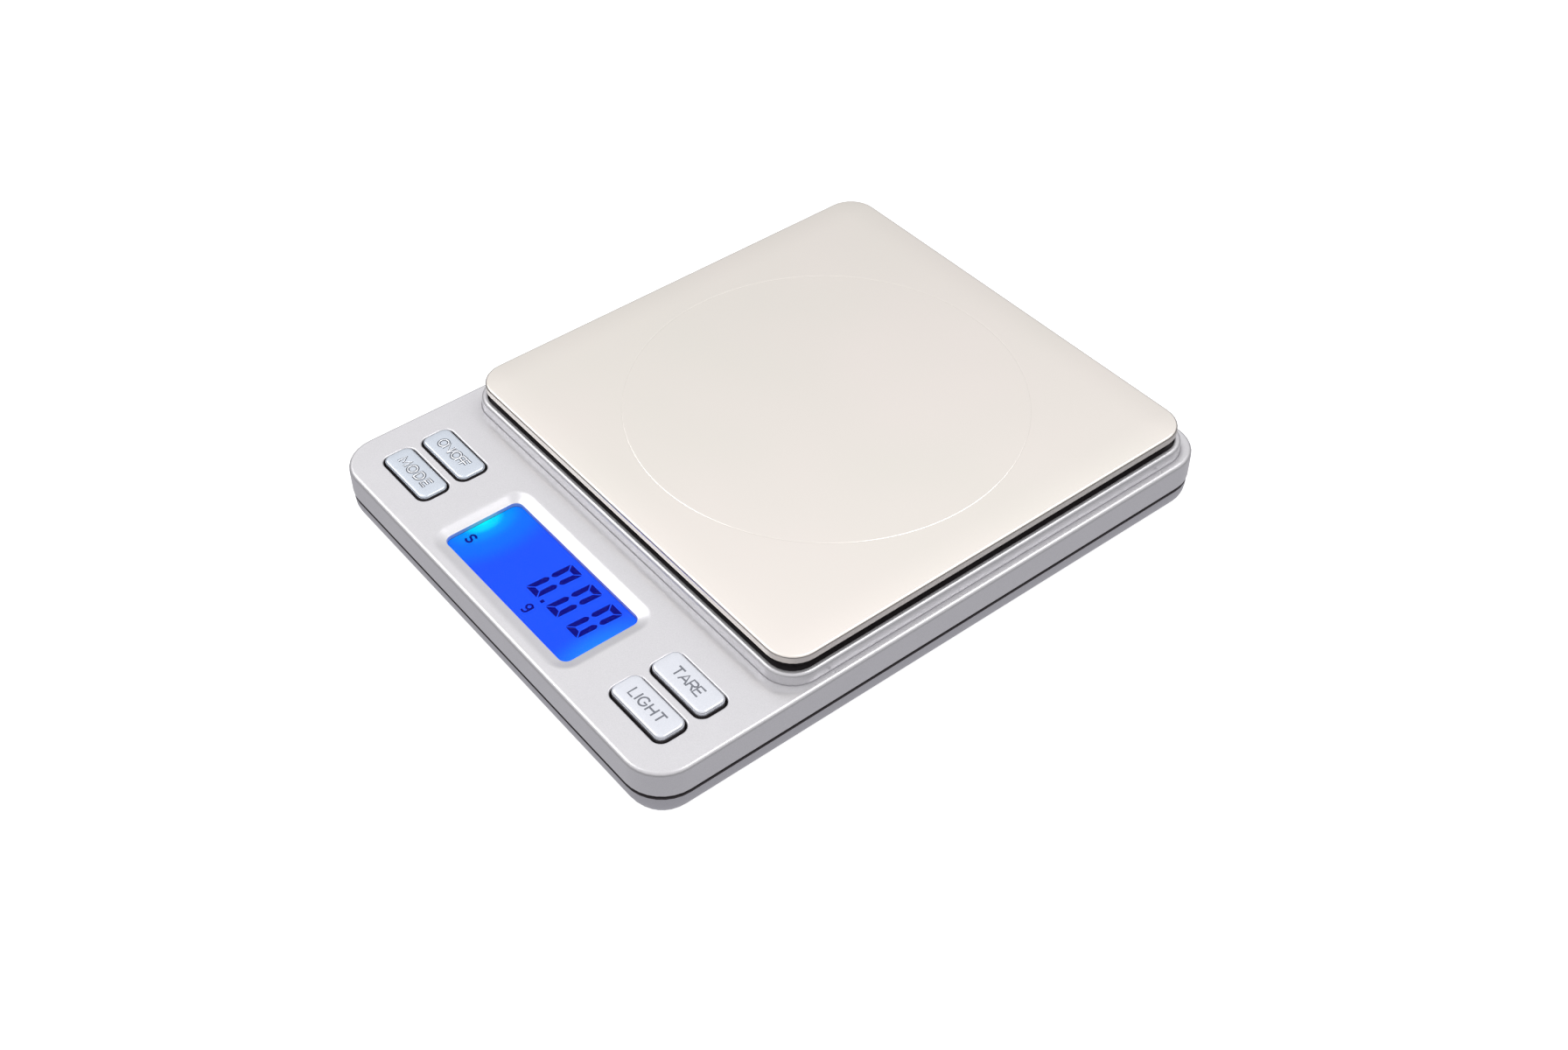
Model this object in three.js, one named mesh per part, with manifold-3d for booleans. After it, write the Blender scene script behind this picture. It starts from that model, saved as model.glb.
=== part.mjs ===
// Bench-top digital gram scale: a flat plastic case with a display strip in front and a raised
// lip round a square steel platform, which stands on a bending-beam load cell.
// Millimetres, +Z up. The origin is on the table, under the middle of the case.
// +X is to the user's right and -Y is towards the user.
import * as THREE from 'three';
import { mergeVertices } from 'three/addons/utils/BufferGeometryUtils.js';
import Module from 'manifold-3d';

const wasm = await Module();
wasm.setup();

// Case
const CASE_W = 106;
const CASE_D = 134.5;
const CASE_CORNER_R = 8;
const BASE_Z = 0.8;
const BASE_ROUND_R = 4.5;
const FLOOR_T = 1.8;
const WALL_T = 1.8;
const SEAM_LOW_Z = 6.55;
const SEAM_HIGH_Z = 7.05;
const PANEL_Z = 13.1;
const PANEL_T = 1.6;
const PANEL_EDGE_R = 0.8;
const TONGUE_TOP_Z = 8;
const TONGUE_INSET = 1;
const TONGUE_T = 0.6;
const REBATE_TOP_Z = 8.3;
const REBATE_INSET = 0.8;
const LOWER_INSET = 0.15;
const FLOOR_Z = BASE_Z + FLOOR_T;
const CEILING_Z = PANEL_Z - PANEL_T;

// Weighing platform and the well under it
const PLATFORM_W = 100;
const PLATFORM_Y = 14.15;
const PLATFORM_R = 6;
const PLATFORM_SHEET_T = 0.6;
const PLATFORM_FOLD_R = 0.8;
const PLATFORM_TOP_Z = 19;
const PLATFORM_SKIRT_Z = 17.15;
const LIP_W = 102;
const LIP_T = 1.4;
const LIP_TOP_Z = 15.3;
const LIP_R = 6.5;
const LIP_ROUND_R = 0.4;
const WELL_FLOOR_Z = 14.2;
const WELL_FLOOR_T = 1;
const UNDER_WELL_INSET = 0.4;
const CARRIER_W = 97;
const CARRIER_Z = 14.9;
const CARRIER_TOP_Z = 17.9;
const CARRIER_SKIN_T = 1.6;
const CARRIER_R = 4.6;
const CARRIER_ROOM_R = 3;
const RIB_X = 26;
const RIB_Y = 16;
const RIB_T = 1.2;
const BOSS_D = 11;
const PAD_R = 6;
const PAD_PLACE = 36;

// Load cell, along X under the middle of the platform
const CELL_L = 45;
const CELL_W = 12;
const CELL_H = 6;
const CELL_Z = 4.6;
const CELL_SCREW_X = [13.5, 19.5];
const CELL_SCREW_R = 1.5;
const CELL_HEAD_R = 2.6;
const CELL_HEAD_H = 1.3;
const CELL_POCKET_R = 2.9;
const CELL_BORE_R = 2.3;
const CELL_BORE_X = 4.5;
const CELL_SLOT_H = 1.4;
const CELL_PAD_L = 11;
const CELL_OPENING_X = [10.3, 23.7];
const CELL_OPENING_D = 14;
const STOP_GAP = 0.4;
const STOP_R = 1.8;

// Display
const DISPLAY_Y = -54;
const WINDOW_W = 40.2;
const WINDOW_D = 16.8;
const WINDOW_R = 1.7;
const RECESS_Z = 12.35;
const RECESS_FOOT_H = 0.3;
const RECESS_FOOT_GROW = 0.8;
const RECESS_GROW = 2.1;
const LCD_W = 46.8;
const LCD_D = 21;
const LCD_Y = -52.9;
const LCD_Z = 10.1;
const LCD_TOP_Z = 11.3;
const GUIDE_X = [-21.4, 23.2];
const GUIDE_T = 1.5;
const LED_X = [-23.3, -21.6];
const LED_D = 2.8;
const ZEBRA_W = 42;
const HOLDER_GAP = 0.4;
const HOLDER_SIDE_T = 1.2;
const HOLDER_END_T = 0.8;
const HOLDER_OPENING_W = 41;
const LENS_GAP = 0.05;
const LENS_FLANGE_R = 2.5;

// Circuit board
const BOARD_W = 84.8;
const BOARD_D = 24.2;
const BOARD_Y = -52.3;
const BOARD_Z = 5.1;
const BOARD_TOP_Z = 6.3;
const BOARD_SCREW_X = 27.6;
const BOARD_SCREW_Y = [-61.5, -43.5];
const BOARD_SCREW_R = 0.75;
const BOARD_HEAD_R = 1.6;
const BOARD_HEAD_H = 1.1;
const BOARD_POST_R = 1.9;
const CHIP_X = 9;

// Keys: the right-hand pair stands a little prouder than the left-hand pair
const KEY_X = 38.3;
const KEY_FRONT_Y = -57.3;
const KEY_BACK_Y = -48.55;
const KEY_W = 15;
const KEY_D = 6.2;
const KEY_R = 1.6;
const KEY_GAP = 0.25;
const KEY_FLANGE_Z = 10.6;
const KEY_FLANGE_T = 0.5;
const KEY_FLANGE_REACH = 0.6;
const KEY_FLANGE_R = 2;
const KEY_ROUND_R = 0.6;
const KEY_LEFT_TOP_Z = 13.7;
const KEY_RIGHT_TOP_Z = 14.1;
const SWITCH_TOP_Z = 9.7;
const SWITCH_W = 6;
const PLUNGER_R = 1.7;

// Battery bay: two AAA cells side by side, along X
const BAY_X = 24.9;
const BAY_FRONT_Y = 35;
const BAY_BACK_Y = 60.9;
const BAY_WALL_T = 1.2;
const BAY_WALL_TOP_Z = 12.6;
const BATTERY_R = 5.25;
const BATTERY_L = 44.5;
const BATTERY_Z = 7.8;
const BATTERY_EDGE_R = 0.35;
const NIPPLE_R = 1.9;
const NIPPLE_H = 0.8;
const BATTERY_FRONT_Y = 42.4;
const BATTERY_BACK_Y = 53.5;
const CONTACT_T = 0.4;
const CONTACT_DOME = 0.5;
const CONTACT_LOW_Z = 3;
const CONTACT_TOP_Z = 12.4;
const CONTACT_REACH = 4;
const DOME_TIP_R = 1.6;
const DOME_FOOT_R = 2.4;
const TAG_W = 2.4;
const TAG_REACH = 0.9;
const TAG_LOW_Z = 12;
const TAG_TOP_Z = 13;
const SPRING_FOOT_R = 3.6;
const SPRING_TIP_R = 2.2;
const SPRING_TURNS = 3.5;
const SPRING_WIRE_R = 0.3;
const SPRING_GAP = 0.4;
const DOOR_GAP = 0.3;
const DOOR_Z = 0.9;
const DOOR_T = 1.4;
const DOOR_TAB_X = 14.5;
const DOOR_TAB_REACH = 2.1;
const DOOR_TAB_TOP_Z = 3.45;
const TAB_SLOT_REACH = 2.5;
const TAB_SLOT_H = 2.4;
const LATCH_X = 5.4;
const LATCH_L = 6;
const LATCH_SLOT_T = 0.8;

// Feet and case screws
const FOOT_R = 4;
const FOOT_H = 1.5;
const FOOT_X = 41.5;
const FOOT_Y = [-56, 56.5];
const CASE_SCREW_X = 45.6;
const CASE_SCREW_Y = [-38.5, 42];
const CASE_SCREW_R = 1.05;
const CASE_SCREW_TOP_Z = 11;
const CASE_HEAD_R = 2.1;
const CASE_HEAD_H = 1.4;
const CASE_POCKET_R = 2.3;
const POST_R = 2.6;
const POST_SPLIT_Z = 7;
const LOWER_POST_R = 2.9;

// Wires
const LEAD_R = 0.6;
const CABLE_R = 0.8;

// Solids that are joined run this far into each other.
const OVERLAP = 0.5;

const CORNER_STEPS = 4;
const ROUND_STEPS = 12;
const WIRE_SIDES = 6;
const WIRE_STEPS = 28;
const SPRING_STEPS = 36;

// A closed block through a stack of rounded rectangles: each level is [z, width, depth, radius].
function stackedBlock(x, y, levels) {
  const ring = 4 * (CORNER_STEPS + 1);
  const points = [];
  for (const [z, width, depth, radius] of levels) {
    for (let corner = 0; corner < 4; corner += 1) {
      const sideX = corner === 0 || corner === 3 ? 1 : -1;
      const sideY = corner < 2 ? 1 : -1;
      for (let step = 0; step <= CORNER_STEPS; step += 1) {
        const angle = (corner + step / CORNER_STEPS) * Math.PI / 2;
        points.push(x + sideX * (width / 2 - radius) + radius * Math.cos(angle));
        points.push(y + sideY * (depth / 2 - radius) + radius * Math.sin(angle), z);
      }
    }
  }
  const bottomCentre = levels.length * ring;
  const topCentre = bottomCentre + 1;
  points.push(x, y, levels[0][0], x, y, levels[levels.length - 1][0]);
  const faces = [];
  for (let k = 0; k < ring; k += 1) {
    const next = (k + 1) % ring;
    const top = (levels.length - 1) * ring;
    faces.push(bottomCentre, next, k, topCentre, top + k, top + next);
    for (let level = 0; level < levels.length - 1; level += 1) {
      const low = level * ring;
      const high = low + ring;
      faces.push(low + k, low + next, high + next, low + k, high + next, high + k);
    }
  }
  const geometry = new THREE.BufferGeometry();
  geometry.setAttribute('position', new THREE.Float32BufferAttribute(points, 3));
  geometry.setIndex(faces);
  return geometry;
}

function prism(x, y, width, depth, radius, lowZ, highZ) {
  return stackedBlock(x, y, [[lowZ, width, depth, radius], [highZ, width, depth, radius]]);
}

function box(lowX, highX, lowY, highY, lowZ, highZ) {
  const geometry = new THREE.BoxGeometry(highX - lowX, highY - lowY, highZ - lowZ);
  return geometry.translate((lowX + highX) / 2, (lowY + highY) / 2, (lowZ + highZ) / 2);
}

function upright(x, y, radius, lowZ, highZ) {
  const geometry = new THREE.CylinderGeometry(radius, radius, highZ - lowZ, ROUND_STEPS);
  return geometry.rotateX(Math.PI / 2).translate(x, y, (lowZ + highZ) / 2);
}

// A turned piece about an upright axis: the profile is [radius, z] from the axis to the axis.
function turned(x, y, profile) {
  const points = profile.map(([radius, z]) => new THREE.Vector2(radius, z));
  return new THREE.LatheGeometry(points, ROUND_STEPS).rotateX(Math.PI / 2).translate(x, y, 0);
}

function toSolid(geometry) {
  const bare = geometry.clone();
  bare.deleteAttribute('normal');
  bare.deleteAttribute('uv');
  const merged = mergeVertices(bare, 1e-5);
  return new wasm.Manifold(new wasm.Mesh({
    numProp: 3,
    vertProperties: merged.attributes.position.array,
    triVerts: Uint32Array.from(merged.index.array),
  }));
}

function toGeometry(solid) {
  const mesh = solid.getMesh();
  const geometry = new THREE.BufferGeometry();
  geometry.setAttribute('position', new THREE.BufferAttribute(mesh.vertProperties, 3));
  geometry.setIndex(new THREE.BufferAttribute(mesh.triVerts, 1));
  return geometry;
}

function join(...pieces) {
  return toGeometry(pieces.map(toSolid).reduce((whole, piece) => whole.add(piece)));
}

function cut(geometry, ...cutters) {
  const whole = toSolid(geometry);
  return toGeometry(cutters.map(toSolid).reduce((rest, cutter) => rest.subtract(cutter), whole));
}

function finish(color, roughness, metalness = 0) {
  return { color, roughness, metalness };
}

const SILVER = finish(0xd6d6d8, 0.4, 0.35);
const KEY_SILVER = finish(0xd9dde6, 0.35, 0.4);
const STEEL = finish(0xe6dfd8, 0.28, 0.9);
const SCREW_STEEL = finish(0xb5b7ba, 0.3, 0.95);
const ALUMINIUM = finish(0xc3c6ca, 0.35, 0.9);
const BLACK = finish(0x1c1c1e, 0.6);
const RUBBER = finish(0x2a2a2c, 0.85);
const CLEAR = finish(0xdfe8ff, 0.08);
const BLUE = finish(0x1e50ff, 0.3);
const BOARD_GREEN = finish(0x1f5b3a, 0.5);
const WHITE = finish(0xeeeeea, 0.6);
const NICKEL = finish(0xc9c6bd, 0.25, 0.95);
const JACKET = finish(0x5d646b, 0.4, 0.3);
const RED = finish(0xb52020, 0.5);

const scale = new THREE.Group();

function addPart(name, geometry, look) {
  const mesh = new THREE.Mesh(geometry, new THREE.MeshStandardMaterial(look));
  mesh.name = name;
  scale.add(mesh);
}

const SIDES = [['left', -1], ['right', 1]];
const CORNERS = ['front', 'rear'].flatMap((end, row) => SIDES.map(
  ([side, sign]) => [`${end}_${side}`, sign, row],
));

// A case outline drawn in by the given inset
function caseLevel(z, inset) {
  return [z, CASE_W - 2 * inset, CASE_D - 2 * inset, CASE_CORNER_R - inset];
}

function platformLevel(z, width, radius) {
  return [z, width, width, radius];
}

const KEYS = [
  ['mode', -KEY_X, KEY_FRONT_Y, KEY_LEFT_TOP_Z],
  ['on_off', -KEY_X, KEY_BACK_Y, KEY_LEFT_TOP_Z],
  ['light', KEY_X, KEY_FRONT_Y, KEY_RIGHT_TOP_Z],
  ['tare', KEY_X, KEY_BACK_Y, KEY_RIGHT_TOP_Z],
];

function upperHousing() {
  const edgeRise = PANEL_EDGE_R * (1 - Math.SQRT1_2);
  const shell = stackedBlock(0, 0, [
    caseLevel(SEAM_HIGH_Z, 0),
    caseLevel(PANEL_Z - PANEL_EDGE_R, 0),
    caseLevel(PANEL_Z - edgeRise, edgeRise),
    caseLevel(PANEL_Z, PANEL_EDGE_R),
  ]);
  const lip = stackedBlock(0, PLATFORM_Y, [
    platformLevel(CEILING_Z + 1, LIP_W, LIP_R),
    platformLevel(LIP_TOP_Z - LIP_ROUND_R, LIP_W, LIP_R),
    platformLevel(LIP_TOP_Z, LIP_W - 2 * LIP_ROUND_R, LIP_R - LIP_ROUND_R),
  ]);
  const wellW = LIP_W - 2 * LIP_T;
  const wellR = LIP_R - LIP_T;
  const wellRoom = prism(0, PLATFORM_Y, wellW, wellW, wellR, WELL_FLOOR_Z, LIP_TOP_Z + 1);
  const underW = wellW - 2 * UNDER_WELL_INSET;
  const underWell = prism(0, PLATFORM_Y, underW, underW, wellR, FLOOR_Z, WELL_FLOOR_Z - WELL_FLOOR_T);
  const room = stackedBlock(0, 0, [caseLevel(0, WALL_T), caseLevel(CEILING_Z, WALL_T)]);
  const rebate = stackedBlock(0, 0, [caseLevel(0, REBATE_INSET), caseLevel(REBATE_TOP_Z, REBATE_INSET)]);
  const cellOpening = box(
    ...CELL_OPENING_X, PLATFORM_Y - CELL_OPENING_D / 2, PLATFORM_Y + CELL_OPENING_D / 2,
    FLOOR_Z, LIP_TOP_Z,
  );
  const window = prism(0, DISPLAY_Y, WINDOW_W, WINDOW_D, WINDOW_R, FLOOR_Z, RECESS_Z + 0.1);
  const recessLevel = (z, grow) => [z, WINDOW_W + 2 * grow, WINDOW_D + 2 * grow, WINDOW_R + grow];
  const recess = stackedBlock(0, DISPLAY_Y, [
    recessLevel(RECESS_Z, 0),
    recessLevel(RECESS_Z + RECESS_FOOT_H, RECESS_FOOT_GROW),
    recessLevel(PANEL_Z, RECESS_GROW),
    recessLevel(PANEL_Z + 1, RECESS_GROW),
  ]);
  const keyHoles = KEYS.map(([, x, y]) => prism(
    x, y, KEY_W + 2 * KEY_GAP, KEY_D + 2 * KEY_GAP, KEY_R + KEY_GAP, FLOOR_Z, PANEL_Z + 1,
  ));
  const hollow = cut(
    join(shell, lip), wellRoom, underWell, room, rebate, cellOpening, window, recess, ...keyHoles,
  );
  const casePosts = CORNERS.map(([, sign, row]) => {
    const top = row === 0 ? CEILING_Z + OVERLAP : WELL_FLOOR_Z - OVERLAP;
    return upright(sign * CASE_SCREW_X, CASE_SCREW_Y[row], POST_R, POST_SPLIT_Z, top);
  });
  const caseHoles = CORNERS.map(([, sign, row]) => upright(
    sign * CASE_SCREW_X, CASE_SCREW_Y[row], CASE_SCREW_R + 0.05, POST_SPLIT_Z - 1, CEILING_Z,
  ));
  const boardPosts = CORNERS.map(([, sign, row]) => upright(
    sign * BOARD_SCREW_X, BOARD_SCREW_Y[row], BOARD_POST_R, BOARD_TOP_Z, CEILING_Z + OVERLAP,
  ));
  const boardHoles = CORNERS.map(([, sign, row]) => upright(
    sign * BOARD_SCREW_X, BOARD_SCREW_Y[row], BOARD_SCREW_R + 0.05, BOARD_TOP_Z - 1, CEILING_Z,
  ));
  return cut(join(hollow, ...casePosts, ...boardPosts), ...caseHoles, ...boardHoles);
}

function lowerHousing() {
  const roundLevel = (angle) => caseLevel(
    BASE_Z + BASE_ROUND_R * (1 - Math.cos(angle)),
    LOWER_INSET + BASE_ROUND_R * (1 - Math.sin(angle)),
  );
  const shell = stackedBlock(0, 0, [
    ...[0, 1, 2, 3, 4].map((step) => roundLevel(step * Math.PI / 8)),
    caseLevel(SEAM_LOW_Z, LOWER_INSET),
  ]);
  const room = stackedBlock(0, 0, [
    caseLevel(FLOOR_Z, WALL_T + 3),
    caseLevel(FLOOR_Z + 1, WALL_T + 1.2),
    caseLevel(FLOOR_Z + 3, WALL_T + LOWER_INSET),
    caseLevel(PANEL_Z, WALL_T + LOWER_INSET),
  ]);
  const tongue = cut(
    stackedBlock(0, 0, [
      caseLevel(SEAM_LOW_Z - 1, TONGUE_INSET),
      caseLevel(TONGUE_TOP_Z, TONGUE_INSET),
    ]),
    stackedBlock(0, 0, [
      caseLevel(SEAM_LOW_Z - 2, TONGUE_INSET + TONGUE_T),
      caseLevel(TONGUE_TOP_Z + 1, TONGUE_INSET + TONGUE_T),
    ]),
  );
  const posts = CORNERS.map(([, sign, row]) => upright(
    sign * CASE_SCREW_X, CASE_SCREW_Y[row], LOWER_POST_R, FLOOR_Z - OVERLAP, POST_SPLIT_Z,
  ));
  const cellPad = box(
    -CELL_L / 2, CELL_PAD_L - CELL_L / 2, PLATFORM_Y - CELL_W / 2, PLATFORM_Y + CELL_W / 2,
    FLOOR_Z - OVERLAP, CELL_Z,
  );
  const overloadStop = upright(
    CELL_L / 2 - 2.5, PLATFORM_Y, STOP_R, FLOOR_Z - OVERLAP, CELL_Z - STOP_GAP,
  );
  const bay = box(
    -BAY_X - BAY_WALL_T, BAY_X + BAY_WALL_T, BAY_FRONT_Y - BAY_WALL_T, BAY_BACK_Y + BAY_WALL_T,
    FLOOR_Z - OVERLAP, BAY_WALL_TOP_Z,
  );
  const bayRoom = box(-BAY_X, BAY_X, BAY_FRONT_Y, BAY_BACK_Y, 0, PANEL_Z);
  const tabSlots = SIDES.map(([, sign]) => box(
    sign * DOOR_TAB_X - TAB_SLOT_REACH, sign * DOOR_TAB_X + TAB_SLOT_REACH,
    BAY_BACK_Y - 1, BAY_BACK_Y + 2, FLOOR_Z, FLOOR_Z + TAB_SLOT_H,
  ));
  const footSeats = CORNERS.map(([, sign, row]) => upright(
    sign * FOOT_X, FOOT_Y[row], FOOT_R + 0.1, 0, FOOT_H,
  ));
  const caseScrewHoles = CORNERS.flatMap(([, sign, row]) => [
    upright(sign * CASE_SCREW_X, CASE_SCREW_Y[row], CASE_POCKET_R, 0, FLOOR_Z + 0.8),
    upright(sign * CASE_SCREW_X, CASE_SCREW_Y[row], CASE_SCREW_R + 0.15, 0, POST_SPLIT_Z + 1),
  ]);
  const cellScrewHoles = CELL_SCREW_X.flatMap((x) => [
    upright(-x, PLATFORM_Y, CELL_POCKET_R, 0, FLOOR_Z - 0.2),
    upright(-x, PLATFORM_Y, CELL_SCREW_R + 0.1, 0, CELL_Z + 1),
  ]);
  return cut(
    join(cut(shell, room), tongue, ...posts, cellPad, overloadStop, bay),
    bayRoom, ...tabSlots, ...footSeats, ...caseScrewHoles, ...cellScrewHoles,
  );
}

function batteryDoor() {
  const edgeR = DOOR_T / 2;
  const hingeY = BAY_BACK_Y - DOOR_GAP - edgeR;
  const hingeZ = DOOR_Z + edgeR;
  const halfW = BAY_X - DOOR_GAP;
  const panel = box(-halfW, halfW, BAY_FRONT_Y + DOOR_GAP, hingeY, DOOR_Z, DOOR_Z + DOOR_T);
  const roundEdge = new THREE.CylinderGeometry(edgeR, edgeR, 2 * halfW, ROUND_STEPS);
  roundEdge.rotateZ(Math.PI / 2).translate(0, hingeY, hingeZ);
  const tabs = SIDES.flatMap(([, sign]) => {
    const lowX = sign * DOOR_TAB_X - DOOR_TAB_REACH;
    const highX = sign * DOOR_TAB_X + DOOR_TAB_REACH;
    return [
      box(lowX, highX, hingeY - 0.4, hingeY + 0.6, hingeZ + 0.4, DOOR_TAB_TOP_Z),
      box(lowX, highX, hingeY - 0.4, hingeY + 2, FLOOR_Z + 0.15, DOOR_TAB_TOP_Z),
    ];
  });
  // A thin U-shaped slot frees the latch tongue at the front edge.
  const slotLegs = SIDES.map(([, sign]) => box(
    sign * LATCH_X - LATCH_SLOT_T / 2, sign * LATCH_X + LATCH_SLOT_T / 2,
    BAY_FRONT_Y - 1, BAY_FRONT_Y + LATCH_L, 0, DOOR_Z + DOOR_T + 1,
  ));
  return cut(join(panel, roundEdge, ...tabs), ...slotLegs);
}

function weighingPlatform() {
  const foldRise = PLATFORM_FOLD_R * (1 - Math.SQRT1_2);
  const skin = stackedBlock(0, PLATFORM_Y, [
    platformLevel(PLATFORM_SKIRT_Z, PLATFORM_W, PLATFORM_R),
    platformLevel(PLATFORM_TOP_Z - PLATFORM_FOLD_R, PLATFORM_W, PLATFORM_R),
    platformLevel(PLATFORM_TOP_Z - foldRise, PLATFORM_W - 2 * foldRise, PLATFORM_R - foldRise),
    platformLevel(PLATFORM_TOP_Z, PLATFORM_W - 2 * PLATFORM_FOLD_R, PLATFORM_R - PLATFORM_FOLD_R),
  ]);
  const innerW = PLATFORM_W - 2 * PLATFORM_SHEET_T;
  const innerTop = PLATFORM_TOP_Z - PLATFORM_SHEET_T;
  const innerR = PLATFORM_R - PLATFORM_SHEET_T;
  const innerBevel = 0.3;
  const room = stackedBlock(0, PLATFORM_Y, [
    platformLevel(0, innerW, innerR),
    platformLevel(innerTop - innerBevel, innerW, innerR),
    platformLevel(innerTop, innerW - 2 * innerBevel, innerR - innerBevel),
  ]);
  return cut(skin, room);
}

function platformCarrier() {
  const rimW = CARRIER_W - 2 * CARRIER_SKIN_T;
  const skinZ = CARRIER_TOP_Z - CARRIER_SKIN_T;
  const tray = cut(
    prism(0, PLATFORM_Y, CARRIER_W, CARRIER_W, CARRIER_R, CARRIER_Z, CARRIER_TOP_Z),
    prism(0, PLATFORM_Y, rimW, rimW, CARRIER_ROOM_R, 0, skinZ),
  );
  const ribReach = rimW / 2 + OVERLAP;
  const ribs = SIDES.flatMap(([, sign]) => {
    const ribY = PLATFORM_Y + sign * RIB_Y;
    const ribX = sign * RIB_X;
    return [
      box(-ribReach, ribReach, ribY - RIB_T / 2, ribY + RIB_T / 2, CARRIER_Z, skinZ + OVERLAP),
      box(
        ribX - RIB_T / 2, ribX + RIB_T / 2, PLATFORM_Y - ribReach, PLATFORM_Y + ribReach,
        CARRIER_Z, skinZ + OVERLAP,
      ),
    ];
  });
  const boss = box(
    CELL_L / 2 - CELL_PAD_L, CELL_L / 2, PLATFORM_Y - BOSS_D / 2, PLATFORM_Y + BOSS_D / 2,
    CELL_Z + CELL_H, skinZ + OVERLAP,
  );
  const screwHoles = CELL_SCREW_X.flatMap((x) => [
    upright(x, PLATFORM_Y, CELL_POCKET_R, CARRIER_TOP_Z - 1.4, CARRIER_TOP_Z + 1),
    upright(x, PLATFORM_Y, CELL_SCREW_R + 0.1, 0, CARRIER_TOP_Z + 1),
  ]);
  return cut(join(tray, ...ribs, boss), ...screwHoles);
}

// A bar with a double-bored window through it, so that it bends as a parallelogram
function loadCell() {
  const bar = box(
    -CELL_L / 2, CELL_L / 2, PLATFORM_Y - CELL_W / 2, PLATFORM_Y + CELL_W / 2, CELL_Z, CELL_Z + CELL_H,
  );
  const middleZ = CELL_Z + CELL_H / 2;
  const bores = SIDES.map(([, sign]) => {
    const bore = new THREE.CylinderGeometry(CELL_BORE_R, CELL_BORE_R, CELL_W + 2, ROUND_STEPS);
    return bore.translate(sign * CELL_BORE_X, PLATFORM_Y, middleZ);
  });
  const slot = box(
    -CELL_BORE_X, CELL_BORE_X, PLATFORM_Y - CELL_W, PLATFORM_Y + CELL_W,
    middleZ - CELL_SLOT_H / 2, middleZ + CELL_SLOT_H / 2,
  );
  const screwHoles = SIDES.flatMap(([, sign]) => CELL_SCREW_X.map((x) => upright(
    sign * x, PLATFORM_Y, CELL_SCREW_R + 0.05, 0, PANEL_Z,
  )));
  return cut(bar, ...bores, slot, ...screwHoles);
}

// A pan-head screw; its head is at headZ and its tip at tipZ, above or below it
function screw(x, y, headR, headH, shankR, headZ, tipZ) {
  const up = Math.sign(tipZ - headZ);
  const bearing = headZ + up * headH;
  const profile = [
    [0, headZ], [headR * 0.8, headZ], [headR, headZ + up * headH * 0.4], [headR, bearing],
    [shankR, bearing], [shankR, tipZ - up * 0.5], [shankR * 0.5, tipZ], [0, tipZ],
  ];
  return turned(x, y, up > 0 ? profile : profile.reverse());
}

function keyCap(x, y, topZ) {
  const shoulderZ = KEY_FLANGE_Z + KEY_FLANGE_T;
  const flangeW = KEY_W + 2 * KEY_FLANGE_REACH;
  const flangeD = KEY_D + 2 * KEY_FLANGE_REACH;
  const rise = 0.3 * KEY_ROUND_R;
  const capLevel = (z, inset) => [z, KEY_W - 2 * inset, KEY_D - 2 * inset, KEY_R - inset];
  return stackedBlock(x, y, [
    [KEY_FLANGE_Z, flangeW, flangeD, KEY_FLANGE_R],
    [shoulderZ, flangeW, flangeD, KEY_FLANGE_R],
    capLevel(shoulderZ, 0),
    capLevel(topZ - KEY_ROUND_R, 0),
    capLevel(topZ - rise, rise),
    capLevel(topZ, KEY_ROUND_R),
  ]);
}

function lcdHolder() {
  const frontY = LCD_Y - LCD_D / 2;
  const backY = LCD_Y + LCD_D / 2;
  const halfW = LCD_W / 2;
  const roomX = halfW + HOLDER_GAP;
  const rimX = roomX + HOLDER_SIDE_T;
  const rimY = HOLDER_GAP + HOLDER_END_T;
  const rim = cut(
    box(-rimX, rimX, frontY - rimY, backY + rimY, BOARD_TOP_Z, LCD_TOP_Z + 0.1),
    box(-roomX, roomX, frontY - HOLDER_GAP, backY + HOLDER_GAP, BOARD_TOP_Z - 1, PANEL_Z),
  );
  const shelfReach = 0.8;
  const shelf = cut(
    box(
      -halfW - shelfReach, halfW + shelfReach, frontY - shelfReach, backY - 2.6,
      BOARD_TOP_Z, LCD_Z - GUIDE_T - 0.1,
    ),
    box(
      -HOLDER_OPENING_W / 2, HOLDER_OPENING_W / 2, frontY + 1.4, backY - 4.1,
      BOARD_TOP_Z - 1, PANEL_Z,
    ),
  );
  return join(rim, shelf);
}

function battery(y, plusSign) {
  const shoulder = BATTERY_L - NIPPLE_H;
  const endR = BATTERY_R - BATTERY_EDGE_R;
  const profile = [
    [0, 0], [endR, 0], [BATTERY_R, BATTERY_EDGE_R], [BATTERY_R, shoulder - BATTERY_EDGE_R],
    [endR, shoulder], [NIPPLE_R, shoulder], [NIPPLE_R, BATTERY_L], [0, BATTERY_L],
  ];
  const points = profile.map(([radius, along]) => new THREE.Vector2(radius, along));
  const geometry = new THREE.LatheGeometry(points, ROUND_STEPS);
  const plusTip = BAY_X - CONTACT_T - CONTACT_DOME;
  return geometry.rotateZ(-plusSign * Math.PI / 2).translate(plusSign * (plusTip - BATTERY_L), y, BATTERY_Z);
}

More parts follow.
